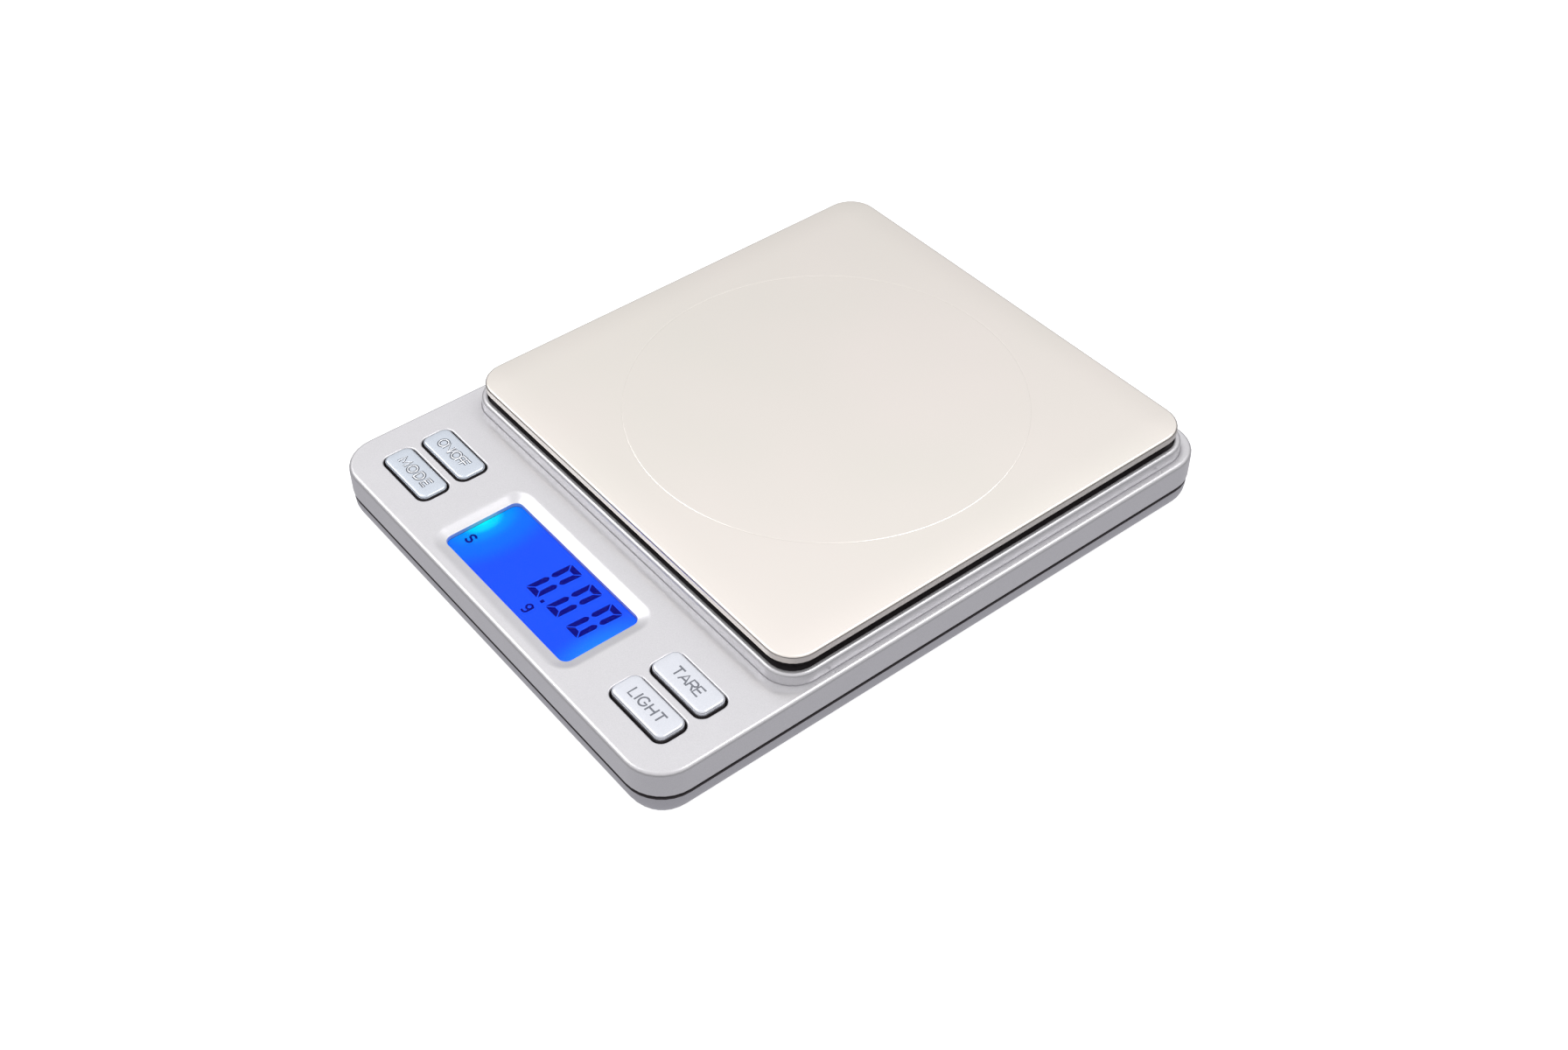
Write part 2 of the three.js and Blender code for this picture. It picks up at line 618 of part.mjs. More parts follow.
// The coil tapers towards the battery, which it stops just short of.
class ConeSpringCurve extends THREE.Curve {
  constructor(y, sign) {
    super();
    this.y = y;
    this.sign = sign;
  }

  getPoint(t, target = new THREE.Vector3()) {
    const wallX = BAY_X - CONTACT_T;
    const batteryEnd = BATTERY_L - (BAY_X - CONTACT_T - CONTACT_DOME) + SPRING_GAP;
    const angle = t * SPRING_TURNS * 2 * Math.PI;
    const radius = SPRING_FOOT_R + (SPRING_TIP_R - SPRING_FOOT_R) * t;
    return target.set(
      this.sign * (wallX + (batteryEnd - wallX) * t),
      this.y + radius * Math.cos(angle),
      BATTERY_Z + radius * Math.sin(angle),
    );
  }
}

function regularOutline(radius, sides) {
  const outline = new THREE.Shape();
  for (let k = 0; k < sides; k += 1) {
    const angle = k * 2 * Math.PI / sides;
    const place = k === 0 ? 'moveTo' : 'lineTo';
    outline[place](radius * Math.cos(angle), radius * Math.sin(angle));
  }
  outline.closePath();
  return outline;
}

function wireAlong(curve, radius, steps) {
  const settings = { steps, bevelEnabled: false, extrudePath: curve };
  return new THREE.ExtrudeGeometry(regularOutline(radius, WIRE_SIDES), settings);
}

function routed(points, radius) {
  const route = new THREE.CatmullRomCurve3(points.map(([x, y, z]) => new THREE.Vector3(x, y, z)));
  return wireAlong(route, radius, WIRE_STEPS);
}

function contactPlate(sign, lowY, highY) {
  const outer = sign * BAY_X;
  const inner = sign * (BAY_X - CONTACT_T);
  return box(
    Math.min(outer, inner), Math.max(outer, inner), lowY, highY, CONTACT_LOW_Z, CONTACT_TOP_Z,
  );
}

// A solder tag that leads over the wall of the bay
function solderTag(sign, y) {
  const outer = sign * (BAY_X + BAY_WALL_T + TAG_REACH);
  const inner = sign * (BAY_X - CONTACT_T);
  const foot = sign * BAY_X;
  const lowY = y - TAG_W / 2;
  const highY = y + TAG_W / 2;
  return join(
    box(
      Math.min(outer, inner), Math.max(outer, inner), lowY, highY,
      BAY_WALL_TOP_Z, BAY_WALL_TOP_Z + CONTACT_T,
    ),
    box(Math.min(foot, inner), Math.max(foot, inner), lowY, highY, TAG_LOW_Z, TAG_TOP_Z),
  );
}

function contactDome(sign, y) {
  const dome = new THREE.CylinderGeometry(
    DOME_TIP_R, DOME_FOOT_R, CONTACT_DOME + CONTACT_T / 2, ROUND_STEPS,
  );
  const middle = BAY_X - CONTACT_T - CONTACT_DOME / 2 + CONTACT_T / 4;
  return dome.rotateZ(sign * Math.PI / 2).translate(sign * middle, y, BATTERY_Z);
}

function springCoil(sign, y) {
  return wireAlong(new ConeSpringCurve(y, sign), SPRING_WIRE_R, SPRING_STEPS);
}

addPart('upper_housing', upperHousing(), SILVER);
addPart('lower_housing', lowerHousing(), SILVER);
addPart('battery_door', batteryDoor(), SILVER);

for (const [corner, sign, row] of CORNERS) {
  const footProfile = [[0, 0], [FOOT_R - 0.5, 0], [FOOT_R, 0.4], [FOOT_R, FOOT_H], [0, FOOT_H]];
  addPart(`rubber_foot_${corner}`, turned(sign * FOOT_X, FOOT_Y[row], footProfile), RUBBER);
  const headZ = FLOOR_Z - 0.6;
  const caseScrew = screw(
    sign * CASE_SCREW_X, CASE_SCREW_Y[row], CASE_HEAD_R, CASE_HEAD_H, CASE_SCREW_R,
    headZ, CASE_SCREW_TOP_Z,
  );
  addPart(`case_screw_${corner}`, caseScrew, SCREW_STEEL);
  const boardScrew = screw(
    sign * BOARD_SCREW_X, BOARD_SCREW_Y[row], BOARD_HEAD_R, BOARD_HEAD_H, BOARD_SCREW_R,
    BOARD_Z - BOARD_HEAD_H, BOARD_TOP_Z + 4,
  );
  addPart(`board_screw_${corner}`, boardScrew, SCREW_STEEL);
}

addPart('weighing_platform', weighingPlatform(), STEEL);
addPart('platform_carrier', platformCarrier(), BLACK);
for (const [corner, sign, row] of CORNERS) {
  const padY = PLATFORM_Y + (row === 0 ? -PAD_PLACE : PAD_PLACE);
  const pad = upright(sign * PAD_PLACE, padY, PAD_R, CARRIER_TOP_Z, PLATFORM_TOP_Z - PLATFORM_SHEET_T);
  addPart(`adhesive_pad_${corner}`, pad, WHITE);
}

addPart('load_cell', loadCell(), ALUMINIUM);
addPart('strain_gauge_sealant', stackedBlock(0, PLATFORM_Y, [
  [CELL_Z + CELL_H, 17, 9.4, 2],
  [CELL_Z + CELL_H + 0.6, 16.4, 8.8, 2],
  [CELL_Z + CELL_H + 1, 13, 6, 1.6],
]), WHITE);
for (const [place, x] of [['inner', CELL_SCREW_X[0]], ['outer', CELL_SCREW_X[1]]]) {
  const baseScrew = screw(
    -x, PLATFORM_Y, CELL_HEAD_R, CELL_HEAD_H, CELL_SCREW_R, FLOOR_Z - 1.5, CELL_Z + CELL_H - 0.6,
  );
  addPart(`cell_base_screw_${place}`, baseScrew, SCREW_STEEL);
  const carrierScrew = screw(
    x, PLATFORM_Y, CELL_HEAD_R, CELL_HEAD_H, CELL_SCREW_R, CARRIER_TOP_Z - 0.1, CELL_Z + 0.8,
  );
  addPart(`carrier_screw_${place}`, carrierScrew, SCREW_STEEL);
}

const lensW = WINDOW_W - 2 * LENS_GAP;
const lensD = WINDOW_D - 2 * LENS_GAP;
addPart('display_lens', stackedBlock(0, DISPLAY_Y, [
  [LCD_TOP_Z + 0.02, WINDOW_W + 3, WINDOW_D + 2.2, LENS_FLANGE_R],
  [CEILING_Z - 0.02, WINDOW_W + 3, WINDOW_D + 2.2, LENS_FLANGE_R],
  [CEILING_Z - 0.02, lensW, lensD, WINDOW_R - LENS_GAP],
  [RECESS_Z, lensW, lensD, WINDOW_R - LENS_GAP],
]), CLEAR);
const lcdFrontY = LCD_Y - LCD_D / 2;
const lcdBackY = LCD_Y + LCD_D / 2;
addPart('lcd_glass', box(-LCD_W / 2, LCD_W / 2, lcdFrontY, lcdBackY, LCD_Z, LCD_TOP_Z), BLUE);
addPart('backlight_guide', box(
  ...GUIDE_X, lcdFrontY + 0.2, lcdBackY - 2.8, LCD_Z - GUIDE_T, LCD_Z - 0.05,
), WHITE);
addPart('backlight_led', box(
  ...LED_X, DISPLAY_Y - LED_D / 2, DISPLAY_Y + LED_D / 2, LCD_Z - GUIDE_T, LCD_Z - 0.3,
), WHITE);
addPart('lcd_holder', lcdHolder(), WHITE);
addPart('zebra_connector', box(
  -ZEBRA_W / 2, ZEBRA_W / 2, lcdBackY - 2.2, lcdBackY - 0.4, BOARD_TOP_Z, LCD_Z,
), RUBBER);

const board = box(
  -BOARD_W / 2, BOARD_W / 2, BOARD_Y - BOARD_D / 2, BOARD_Y + BOARD_D / 2, BOARD_Z, BOARD_TOP_Z,
);
const boardScrewHoles = CORNERS.map(([, sign, row]) => upright(
  sign * BOARD_SCREW_X, BOARD_SCREW_Y[row], BOARD_SCREW_R + 0.2, 0, PANEL_Z,
));
addPart('main_circuit_board', cut(board, ...boardScrewHoles), BOARD_GREEN);
addPart('chip_cover', turned(CHIP_X, BOARD_Y, [
  [0, BOARD_Z - 1.3], [2.5, BOARD_Z - 1.2], [4.4, BOARD_Z - 0.8], [5.5, BOARD_Z], [0, BOARD_Z],
]), BLACK);

for (const [key, x, y, topZ] of KEYS) {
  const reach = SWITCH_W / 2;
  const body = box(x - reach, x + reach, y - reach, y + reach, BOARD_TOP_Z, SWITCH_TOP_Z);
  const plungerHole = upright(x, y, PLUNGER_R + 0.15, SWITCH_TOP_Z - 2.1, PANEL_Z);
  addPart(`${key}_switch_body`, cut(body, plungerHole), BLACK);
  addPart(`${key}_switch_plunger`, upright(x, y, PLUNGER_R, SWITCH_TOP_Z - 1.3, KEY_FLANGE_Z), NICKEL);
  addPart(`${key}_key`, keyCap(x, y, topZ), KEY_SILVER);
}

addPart('battery_front', battery(BATTERY_FRONT_Y, 1), JACKET);
addPart('battery_rear', battery(BATTERY_BACK_Y, -1), JACKET);
addPart('bridge_contact', join(
  contactPlate(1, BATTERY_FRONT_Y - CONTACT_REACH, BATTERY_BACK_Y + CONTACT_REACH),
  contactDome(1, BATTERY_FRONT_Y),
  springCoil(1, BATTERY_BACK_Y),
), NICKEL);
addPart('negative_contact', join(
  contactPlate(-1, BATTERY_FRONT_Y - CONTACT_REACH, BATTERY_FRONT_Y + CONTACT_REACH),
  solderTag(-1, BATTERY_FRONT_Y),
  springCoil(-1, BATTERY_FRONT_Y),
), NICKEL);
addPart('positive_contact', join(
  contactPlate(-1, BATTERY_BACK_Y - CONTACT_REACH, BATTERY_BACK_Y + CONTACT_REACH),
  solderTag(-1, BATTERY_BACK_Y),
  contactDome(-1, BATTERY_BACK_Y),
), NICKEL);

const leadX = -BAY_X - BAY_WALL_T - 0.8;
const boardEntryY = BOARD_Y + BOARD_D / 2 - 3;
addPart('positive_lead', routed([
  [leadX, BATTERY_BACK_Y, 11.8], [leadX - 0.3, BATTERY_BACK_Y, 7], [leadX - 4.5, 46, 4],
  [leadX - 4.5, 20, 3.8], [leadX - 4.2, -10, 3.8], [leadX - 4, boardEntryY, 4.3],
], LEAD_R), RED);
addPart('negative_lead', routed([
  [leadX, BATTERY_FRONT_Y, 11.8], [leadX - 0.3, BATTERY_FRONT_Y - 0.5, 7], [leadX - 1.5, 35, 4],
  [leadX - 1.5, 15, 3.8], [leadX, -15, 3.8], [leadX + 3.4, boardEntryY, 4.3],
], LEAD_R), BLACK);
addPart('load_cell_cable', routed([
  [-8, PLATFORM_Y - CELL_W / 2 - 0.9, 8], [-8.5, 5.5, 5.4], [-9, 0, 4],
  [-9, -15, 3.8], [-6, -32, 3.9], [-5, boardEntryY, 4.2],
], CABLE_R), WHITE);

export default scale;
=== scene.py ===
"""A bench-top digital gram scale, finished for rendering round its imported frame."""
import math

import bmesh
import bpy
from mathutils import Matrix, Vector
from mathutils.geometry import tessellate_polygon


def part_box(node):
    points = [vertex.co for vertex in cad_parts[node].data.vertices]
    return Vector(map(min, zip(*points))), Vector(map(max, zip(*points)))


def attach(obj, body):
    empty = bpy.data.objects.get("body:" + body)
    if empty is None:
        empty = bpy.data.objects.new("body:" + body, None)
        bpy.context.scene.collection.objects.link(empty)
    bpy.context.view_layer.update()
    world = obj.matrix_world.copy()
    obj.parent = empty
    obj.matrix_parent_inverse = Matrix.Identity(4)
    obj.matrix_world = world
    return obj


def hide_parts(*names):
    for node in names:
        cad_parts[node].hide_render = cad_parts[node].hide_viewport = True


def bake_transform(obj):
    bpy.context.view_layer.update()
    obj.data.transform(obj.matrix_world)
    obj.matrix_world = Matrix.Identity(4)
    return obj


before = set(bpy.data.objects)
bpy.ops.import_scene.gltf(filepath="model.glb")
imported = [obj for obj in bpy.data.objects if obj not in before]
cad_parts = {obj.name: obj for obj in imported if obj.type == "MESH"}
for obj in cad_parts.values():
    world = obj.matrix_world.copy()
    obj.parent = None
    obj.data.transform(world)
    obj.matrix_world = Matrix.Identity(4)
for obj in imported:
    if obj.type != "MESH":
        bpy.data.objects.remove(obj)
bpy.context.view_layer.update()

MM = 0.001
SIDES = (("left", -1), ("right", 1))
CORNERS = [f"{end}_{side}" for end in ("front", "rear") for side, _ in SIDES]
KEY_NAMES = ("mode", "on_off", "light", "tare")

# All sizes below are in millimetres.

# Lower shell: it rests at BASE_Z, and FLOOR_Z is the inside of its floor
CORNER_R = 8.0
BASE_Z = 0.8
FLOOR_Z = 2.6
BASE_INSET = 0.15
BASE_ROUND_R = 4.5
BASE_CORNER_TUCK = 1.6
SEAM_LOW_Z = 6.55
SEAM_HIGH_Z = 7.05
SEAM_BEVEL = 0.3
TONGUE_TOP_Z = 8.0
FOOT_GAP = 0.1
POCKET_BEVEL = 0.12
STOP_X = 20
STOP_R = 1.8
BAY_Y = 47.95
BAY_D = 25.9
BAY_TOP_Z = 12.6
BAY_WALL_T = 1.2
BAY_DOOR_GAP = 0.3
TAB_X = 14.5
TAB_Y = 61.4

# Upper shell: the panel, the lip round the platform and the gutter round the lip's foot
PANEL_Z = 13.1
PANEL_EDGE_R = 0.8
CEILING_Z = 11.5
WALL_T = 1.8
LIP_REACH = 1.0
LIP_TOP_Z = 15.3
LIP_T = 1.4
LIP_R = 6.5
LIP_EDGE_R = 0.35
LIP_INSIDE = -LIP_T + LIP_EDGE_R
LIP_SHOULDER = 0.84
LIP_ROUND_W = 0.72
LIP_ROUND_H = 0.6
GUTTER_REACH = 1.1
GUTTER_FOOT = 0.18
GUTTER_FRONT = 3.6
GUTTER_DEPTH = 0.24
GUTTER_STEPS = 6
FOOT_LINE_OUT = 0.12
FOOT_LINE_DROP = 0.2
DIMPLE_R = 0.32
DIMPLE_OUT = 0.7
DIMPLE_ALONG = (-41.0, 40.9)
WELL_FLOOR_Z = 14.2
WELL_FLOOR_T = 1.0
CARRIER_SLOT_X = 17
CARRIER_SLOT_W = 13.4
CARRIER_SLOT_D = 14
WINDOW_R = 1.7
WINDOW_FIT = 0.04
RECESS_Z = 12.35
LENS_MARGIN_X = 3
LENS_MARGIN_Y = 2.2

# Keys
KEY_R = 1.6
KEY_GAP = 0.42
KEY_FLANGE = 0.6
KEY_RIM_R = 0.35
KEY_EDGE_R = 0.5

# Platform sheet, with a circle pressed into it
PLATFORM_R = 6.0
SHEET_T = 0.6
FOLD_R = 0.5
FOLD_INNER_R = 0.2
EDGE_ROLL = 0.14
RING_R = 40.1
RING_HALF_W = 0.09
RING_DEPTH = 0.023
RING_STEPS = 160

# Load cell, and the length either side of its middle that bends
CELL_BORE_R = 2.3
CELL_BORE_X = 4.5
CELL_WAIST_DEG = 17.7
CELL_EDGE = 0.2
CELL_PAD_W = 11
CELL_PAD_D = 12
CELL_PAD_Z = 4.6
CELL_SCREW_R = 1.6
CELL_HEAD_R = 2.9

# Battery cells
JACKET_R = 5.22
JACKET_RIM_R = 4.6
BAND_L = 11

# Screw heads, as radius and height
CASE_HEAD = (2.1, 1.4)
BOARD_HEAD = (1.6, 1.1)
CELL_HEAD = (2.6, 1.3)
THREAD_PITCH = 0.55
THREAD_DEPTH = 0.16

CORNER_STEPS = 8
CIRCLE_STEPS = 48


# ---------------------------------------------------------------- frame measures

def extent(node):
    """A node's centre x, y, width, depth, low z and high z, in millimetres."""
    low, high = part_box(node)
    return (
        (low.x + high.x) / 2 / MM, (low.y + high.y) / 2 / MM,
        (high.x - low.x) / MM, (high.y - low.y) / MM, low.z / MM, high.z / MM,
    )


def centre(node):
    """A node's centre x and y, in millimetres."""
    return extent(node)[:2]


CASE_X, CASE_Y, CASE_W, CASE_D, _, _ = extent("upper_housing")
PLATE_X, PLATE_Y, PLATE_W, _, PLATE_LOW_Z, PLATE_TOP_Z = extent("weighing_platform")
LIP_W = PLATE_W + 2 * LIP_REACH
_, DISPLAY_Y, LENS_FLANGE_W, LENS_FLANGE_D, LENS_LOW_Z, _ = extent("display_lens")
WINDOW_W = LENS_FLANGE_W - LENS_MARGIN_X
WINDOW_D = LENS_FLANGE_D - LENS_MARGIN_Y
CASE_PLACE = (CASE_X, CASE_Y, CASE_W, CASE_D, CORNER_R)
LIP_PLACE = (PLATE_X, PLATE_Y, LIP_W, LIP_W, LIP_R)
WINDOW_PLACE = (0, DISPLAY_Y, WINDOW_W, WINDOW_D, WINDOW_R)


# ---------------------------------------------------------------- mesh building

def arc(x, z, radius, start, end, steps=8, squash=1.0):
    """Profile points on an arc, as (grow, z); angles in degrees, and squash scales its height."""
    points = []
    for step in range(steps + 1):
        angle = math.radians(start + (end - start) * step / steps)
        points.append((x + radius * math.cos(angle), z + squash * radius * math.sin(angle)))
    return points


def full_turn(steps):
    """Angles evenly round a circle, in radians."""
    return [2 * math.pi * k / steps for k in range(steps)]


def outline(place, grow, z):
    """A ring at height z: place is (x, y, radius), or (x, y, width, depth, corner radius)."""
    if len(place) == 3:
        x, y, radius = place
        radius += grow
        return [(x + radius * math.cos(t), y + radius * math.sin(t), z) for t in full_turn(CIRCLE_STEPS)]
    x, y, width, depth, radius = place
    radius = max(radius + grow, 0.02)
    half_w = width / 2 + grow - radius
    half_d = depth / 2 + grow - radius
    points = []
    for corner, (side_x, side_y) in enumerate(((1, 1), (-1, 1), (-1, -1), (1, -1))):
        for step in range(CORNER_STEPS + 1):
            angle = (corner + step / CORNER_STEPS) * math.pi / 2
            points.append((
                x + side_x * half_w + radius * math.cos(angle),
                y + side_y * half_d + radius * math.sin(angle), z,
            ))
    return points


class Skin:
    """A surface of rings, the bands between them and flat fills; tint picks each face's material."""

    def __init__(self):
        self.points = []
        self.faces = []
        self.tints = []
        self.tint = 0

    def ring(self, points):
        """Adds points and gives back their numbers."""
        start = len(self.points)
        self.points.extend(points)
        return list(range(start, len(self.points)))

    def bridge(self, low, high):
        """A band of faces between two rings with as many points."""
        count = len(low)
        for k in range(count):
            n = (k + 1) % count
            self.add_face((low[k], low[n], high[n], high[k]))

    def add_face(self, corners):
        self.faces.append(corners)
        self.tints.append(self.tint)

    def stack(self, outlines):
        """Bands through a row of outlines; gives back the first and last rings."""
        rings = [self.ring(points) for points in outlines]
        for low, high in zip(rings, rings[1:]):
            self.bridge(low, high)
        return rings[0], rings[-1]

    def loft(self, place, profile):
        """Bands through a profile of (grow, z) round a place."""
        return self.stack(outline(place, grow, z) for grow, z in profile)

    def fill(self, *loops):
        """A flat face inside the first ring and outside the others."""
        order = [k for loop in loops for k in loop]
        rims = [[Vector(self.points[k]) for k in loop] for loop in loops]
        for triangle in tessellate_polygon(rims):
            self.add_face(tuple(order[k] for k in triangle))

    def capped_stack(self, outlines):
        first, last = self.stack(outlines)
        self.fill(first)
        self.fill(last)

    def solid(self, place, profile):
        """A closed loft."""
        self.capped_stack(outline(place, grow, z) for grow, z in profile)


def skin_mesh(name, skin):
    """A mesh in metres from a skin in millimetres."""
    mesh = bpy.data.meshes.new(name)
    mesh.from_pydata([Vector(p) * MM for p in skin.points], [], skin.faces)
    return mesh


def add_object(name, data):
    """A new object in the scene, holding a mesh, a curve, a lamp or a camera."""
    made = bpy.data.objects.new(name, data)
    bpy.context.scene.collection.objects.link(made)
    return made


def weight_normals(piece):
    """Shading that keeps flat faces flat beside rounded edges."""
    normals = piece.modifiers.new("weighted_normals", "WEIGHTED_NORMAL")
    normals.keep_sharp = True


def make_object(name, skin, materials, body=None, smooth_deg=32.0, weighted=True):
    """A piece from a skin, riding on a body if one is named; materials is one, or one for each tint."""
    mesh = skin_mesh(name, skin)
    for face, tint in zip(mesh.polygons, skin.tints):
        face.material_index = tint
    shape = bmesh.new()
    shape.from_mesh(mesh)
    bmesh.ops.remove_doubles(shape, verts=shape.verts, dist=2e-7)
    bmesh.ops.dissolve_degenerate(shape, dist=1e-7, edges=shape.edges)
    bmesh.ops.recalc_face_normals(shape, faces=shape.faces)
    for face in shape.faces:
        face.smooth = True
    for edge in shape.edges:
        edge.smooth = len(edge.link_faces) == 2 and edge.calc_face_angle(0) < math.radians(smooth_deg)
    shape.to_mesh(mesh)
    shape.free()
    piece = add_object(name, mesh)
    for material in materials if isinstance(materials, tuple) else (materials,):
        mesh.materials.append(material)
    if weighted:
        weight_normals(piece)
    if body:
        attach(piece, body)
    return piece


def cut_away(piece, skin):
    """Take the solids of a skin out of a piece."""
    mesh = skin_mesh("cutter", skin)
    shape = bmesh.new()
    shape.from_mesh(mesh)
    bmesh.ops.recalc_face_normals(shape, faces=shape.faces)
    shape.to_mesh(mesh)
    shape.free()
    cutter = add_object("cutter", mesh)
    piece.modifiers.clear()
    cuts = piece.modifiers.new("cuts", "BOOLEAN")
    cuts.object = cutter
    cuts.operation = "DIFFERENCE"
    cuts.solver = "EXACT"
    graph = bpy.context.evaluated_depsgraph_get()
    mesh = bpy.data.meshes.new_from_object(piece.evaluated_get(graph))
    piece.modifiers.clear()
    piece.data = mesh
    bpy.data.objects.remove(cutter)
    weight_normals(piece)


def stand_for(piece, slot_name, *nodes):
    """Hide the CAD nodes named, which the piece stands in for."""
    if nodes:
        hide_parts(*nodes)


# ---------------------------------------------------------------- materials

def set_stops(ramp, stops):
    """Fill a colour ramp with stops of (position, colour)."""
    while len(ramp.elements) < len(stops):
        ramp.elements.new(0.5)
    for element, (position, color) in zip(ramp.elements, stops):
        element.position = position
        element.color = (*color, 1)


class Finish:
    """A Principled material with helpers for procedural detail in object space."""

    def __init__(self, name, color, roughness, metallic=0.0, **sockets):
        self.material = bpy.data.materials.new(name)
        self.material.use_nodes = True
        self.tree = self.material.node_tree
        self.shader = self.tree.nodes["Principled BSDF"]
        self.shader.inputs["Base Color"].default_value = (*color, 1)
        self.shader.inputs["Roughness"].default_value = roughness
        self.shader.inputs["Metallic"].default_value = metallic
        for socket, value in sockets.items():
            self.shader.inputs[socket.replace("_", " ")].default_value = value
        self.coordinates = None
        self.last_bump = None

    def node(self, kind, **settings):
        """Adds a shader node."""
        made = self.tree.nodes.new(kind)
        for key, value in settings.items():
            setattr(made, key, value)
        return made

    def link(self, out, into):
        self.tree.links.new(out, into)

    def noise(self, size_mm, detail=2.0, stretch=(1, 1, 1)):
        """Noise whose features are about size_mm across, drawn out by stretch."""
        if self.coordinates is None:
            self.coordinates = self.node("ShaderNodeTexCoord")
        mapping = self.node("ShaderNodeMapping")
        mapping.inputs["Scale"].default_value = [1 / s for s in stretch]
        texture = self.node("ShaderNodeTexNoise")
        texture.inputs["Scale"].default_value = 1 / (size_mm * MM)
        texture.inputs["Detail"].default_value = detail
        self.link(self.coordinates.outputs["Object"], mapping.inputs["Vector"])
        self.link(mapping.outputs["Vector"], texture.inputs["Vector"])
        return texture.outputs["Fac"]

    def color_between(self, factor, low, high, start=0.3, end=0.7):
        """Base colour that runs from low to high as a factor goes from start to end."""
        ramp = self.node("ShaderNodeValToRGB")
        set_stops(ramp.color_ramp, ((start, low), (end, high)))
        self.link(factor, ramp.inputs["Fac"])
        self.link(ramp.outputs["Color"], self.shader.inputs["Base Color"])
        return self

    def roughness_between(self, factor, low, high, start=0.3, end=0.7):
        """Roughness that runs from low to high as a factor goes from start to end."""
        spread = self.node("ShaderNodeMapRange")
        spread.inputs["From Min"].default_value = start
        spread.inputs["From Max"].default_value = end
        spread.inputs["To Min"].default_value = low
        spread.inputs["To Max"].default_value = high
        self.link(factor, spread.inputs["Value"])
        self.link(spread.outputs["Result"], self.shader.inputs["Roughness"])
        return self

    def bump(self, factor, depth_mm):
        """Fine surface relief, added to any relief before it."""
        relief = self.node("ShaderNodeBump")
        relief.inputs["Distance"].default_value = depth_mm * MM
        self.link(factor, relief.inputs["Height"])
        if self.last_bump is not None:
            self.link(self.last_bump, relief.inputs["Normal"])
        self.last_bump = relief.outputs["Normal"]
        self.link(self.last_bump, self.shader.inputs["Normal"])
        return self


def shade(color, factor):
    return tuple(channel * factor for channel in color)


def moulded(
    name, color, roughness, grain_mm=0.25, depth_mm=0.006, spread=0.05, metallic=0.0, **sockets,
):
    """Moulded or painted plastic: a little colour drift, uneven gloss and a fine skin."""
    look = Finish(name, color, roughness, metallic, **sockets)
    look.color_between(look.noise(9, 3), shade(color, 1 - spread), shade(color, 1 + spread * 0.4))
    look.roughness_between(look.noise(4, 3), roughness * 0.88, roughness * 1.12)
    look.bump(look.noise(grain_mm, 2), depth_mm)
    return look.material


def silver_paint(name, color, roughness, metallic):
    """Silver paint on plastic: metal flake, orange peel and a slight drift of tone."""
    look = Finish(name, color, roughness, metallic)
    look.color_between(look.noise(0.14, 1), shade(color, 0.955), shade(color, 1.03), 0.35, 0.65)
    look.roughness_between(look.noise(6, 3), roughness * 0.92, roughness * 1.1)
    look.bump(look.noise(1.3, 1), 0.004)
    look.bump(look.noise(0.16, 1), 0.0012)
    return look.material


def satin_steel(name, tone=1.0):
    """Satin stainless sheet, with faint cloudy patches of tone and gloss."""
    # A tone below 1 gives a darker copy of the same steel, used as painted shade.
    low, high = shade((0.905, 0.88, 0.81), tone), shade((0.962, 0.9, 0.85), tone)
    look = Finish(name, low, 0.29, 1.0)
    look.color_between(look.noise(34, 1), low, high, 0.1, 0.9)
    look.roughness_between(look.noise(22, 1, (3, 1, 1)), 0.276, 0.304, 0.1, 0.9)
    return look.material


def metal(name, color, roughness, grain_mm=0.3, stretch=(1, 1, 1), depth_mm=0.003):
    look = Finish(name, color, roughness, 1.0)
    look.color_between(look.noise(3, 3), shade(color, 0.9), shade(color, 1.04))
    look.roughness_between(look.noise(grain_mm, 2, stretch), roughness * 0.8, roughness * 1.25)
    look.bump(look.noise(grain_mm, 2, stretch), depth_mm)
    return look.material


def soft_rubber():
    look = Finish("black_rubber", (0.035, 0.035, 0.037), 0.72)
    look.color_between(look.noise(1.5, 4), (0.028, 0.028, 0.03), (0.05, 0.05, 0.052))
    look.bump(look.noise(0.12, 3), 0.012)
    return look.material


def clear_acrylic():
    look = Finish("clear_acrylic", (0.004, 0.008, 0.03), 0.06, IOR=1.49, Alpha=0.07)
    look.color_between(look.noise(8, 2), (0.003, 0.006, 0.025), (0.005, 0.01, 0.035))
    look.roughness_between(look.noise(5, 3), 0.05, 0.07)
    return look.material


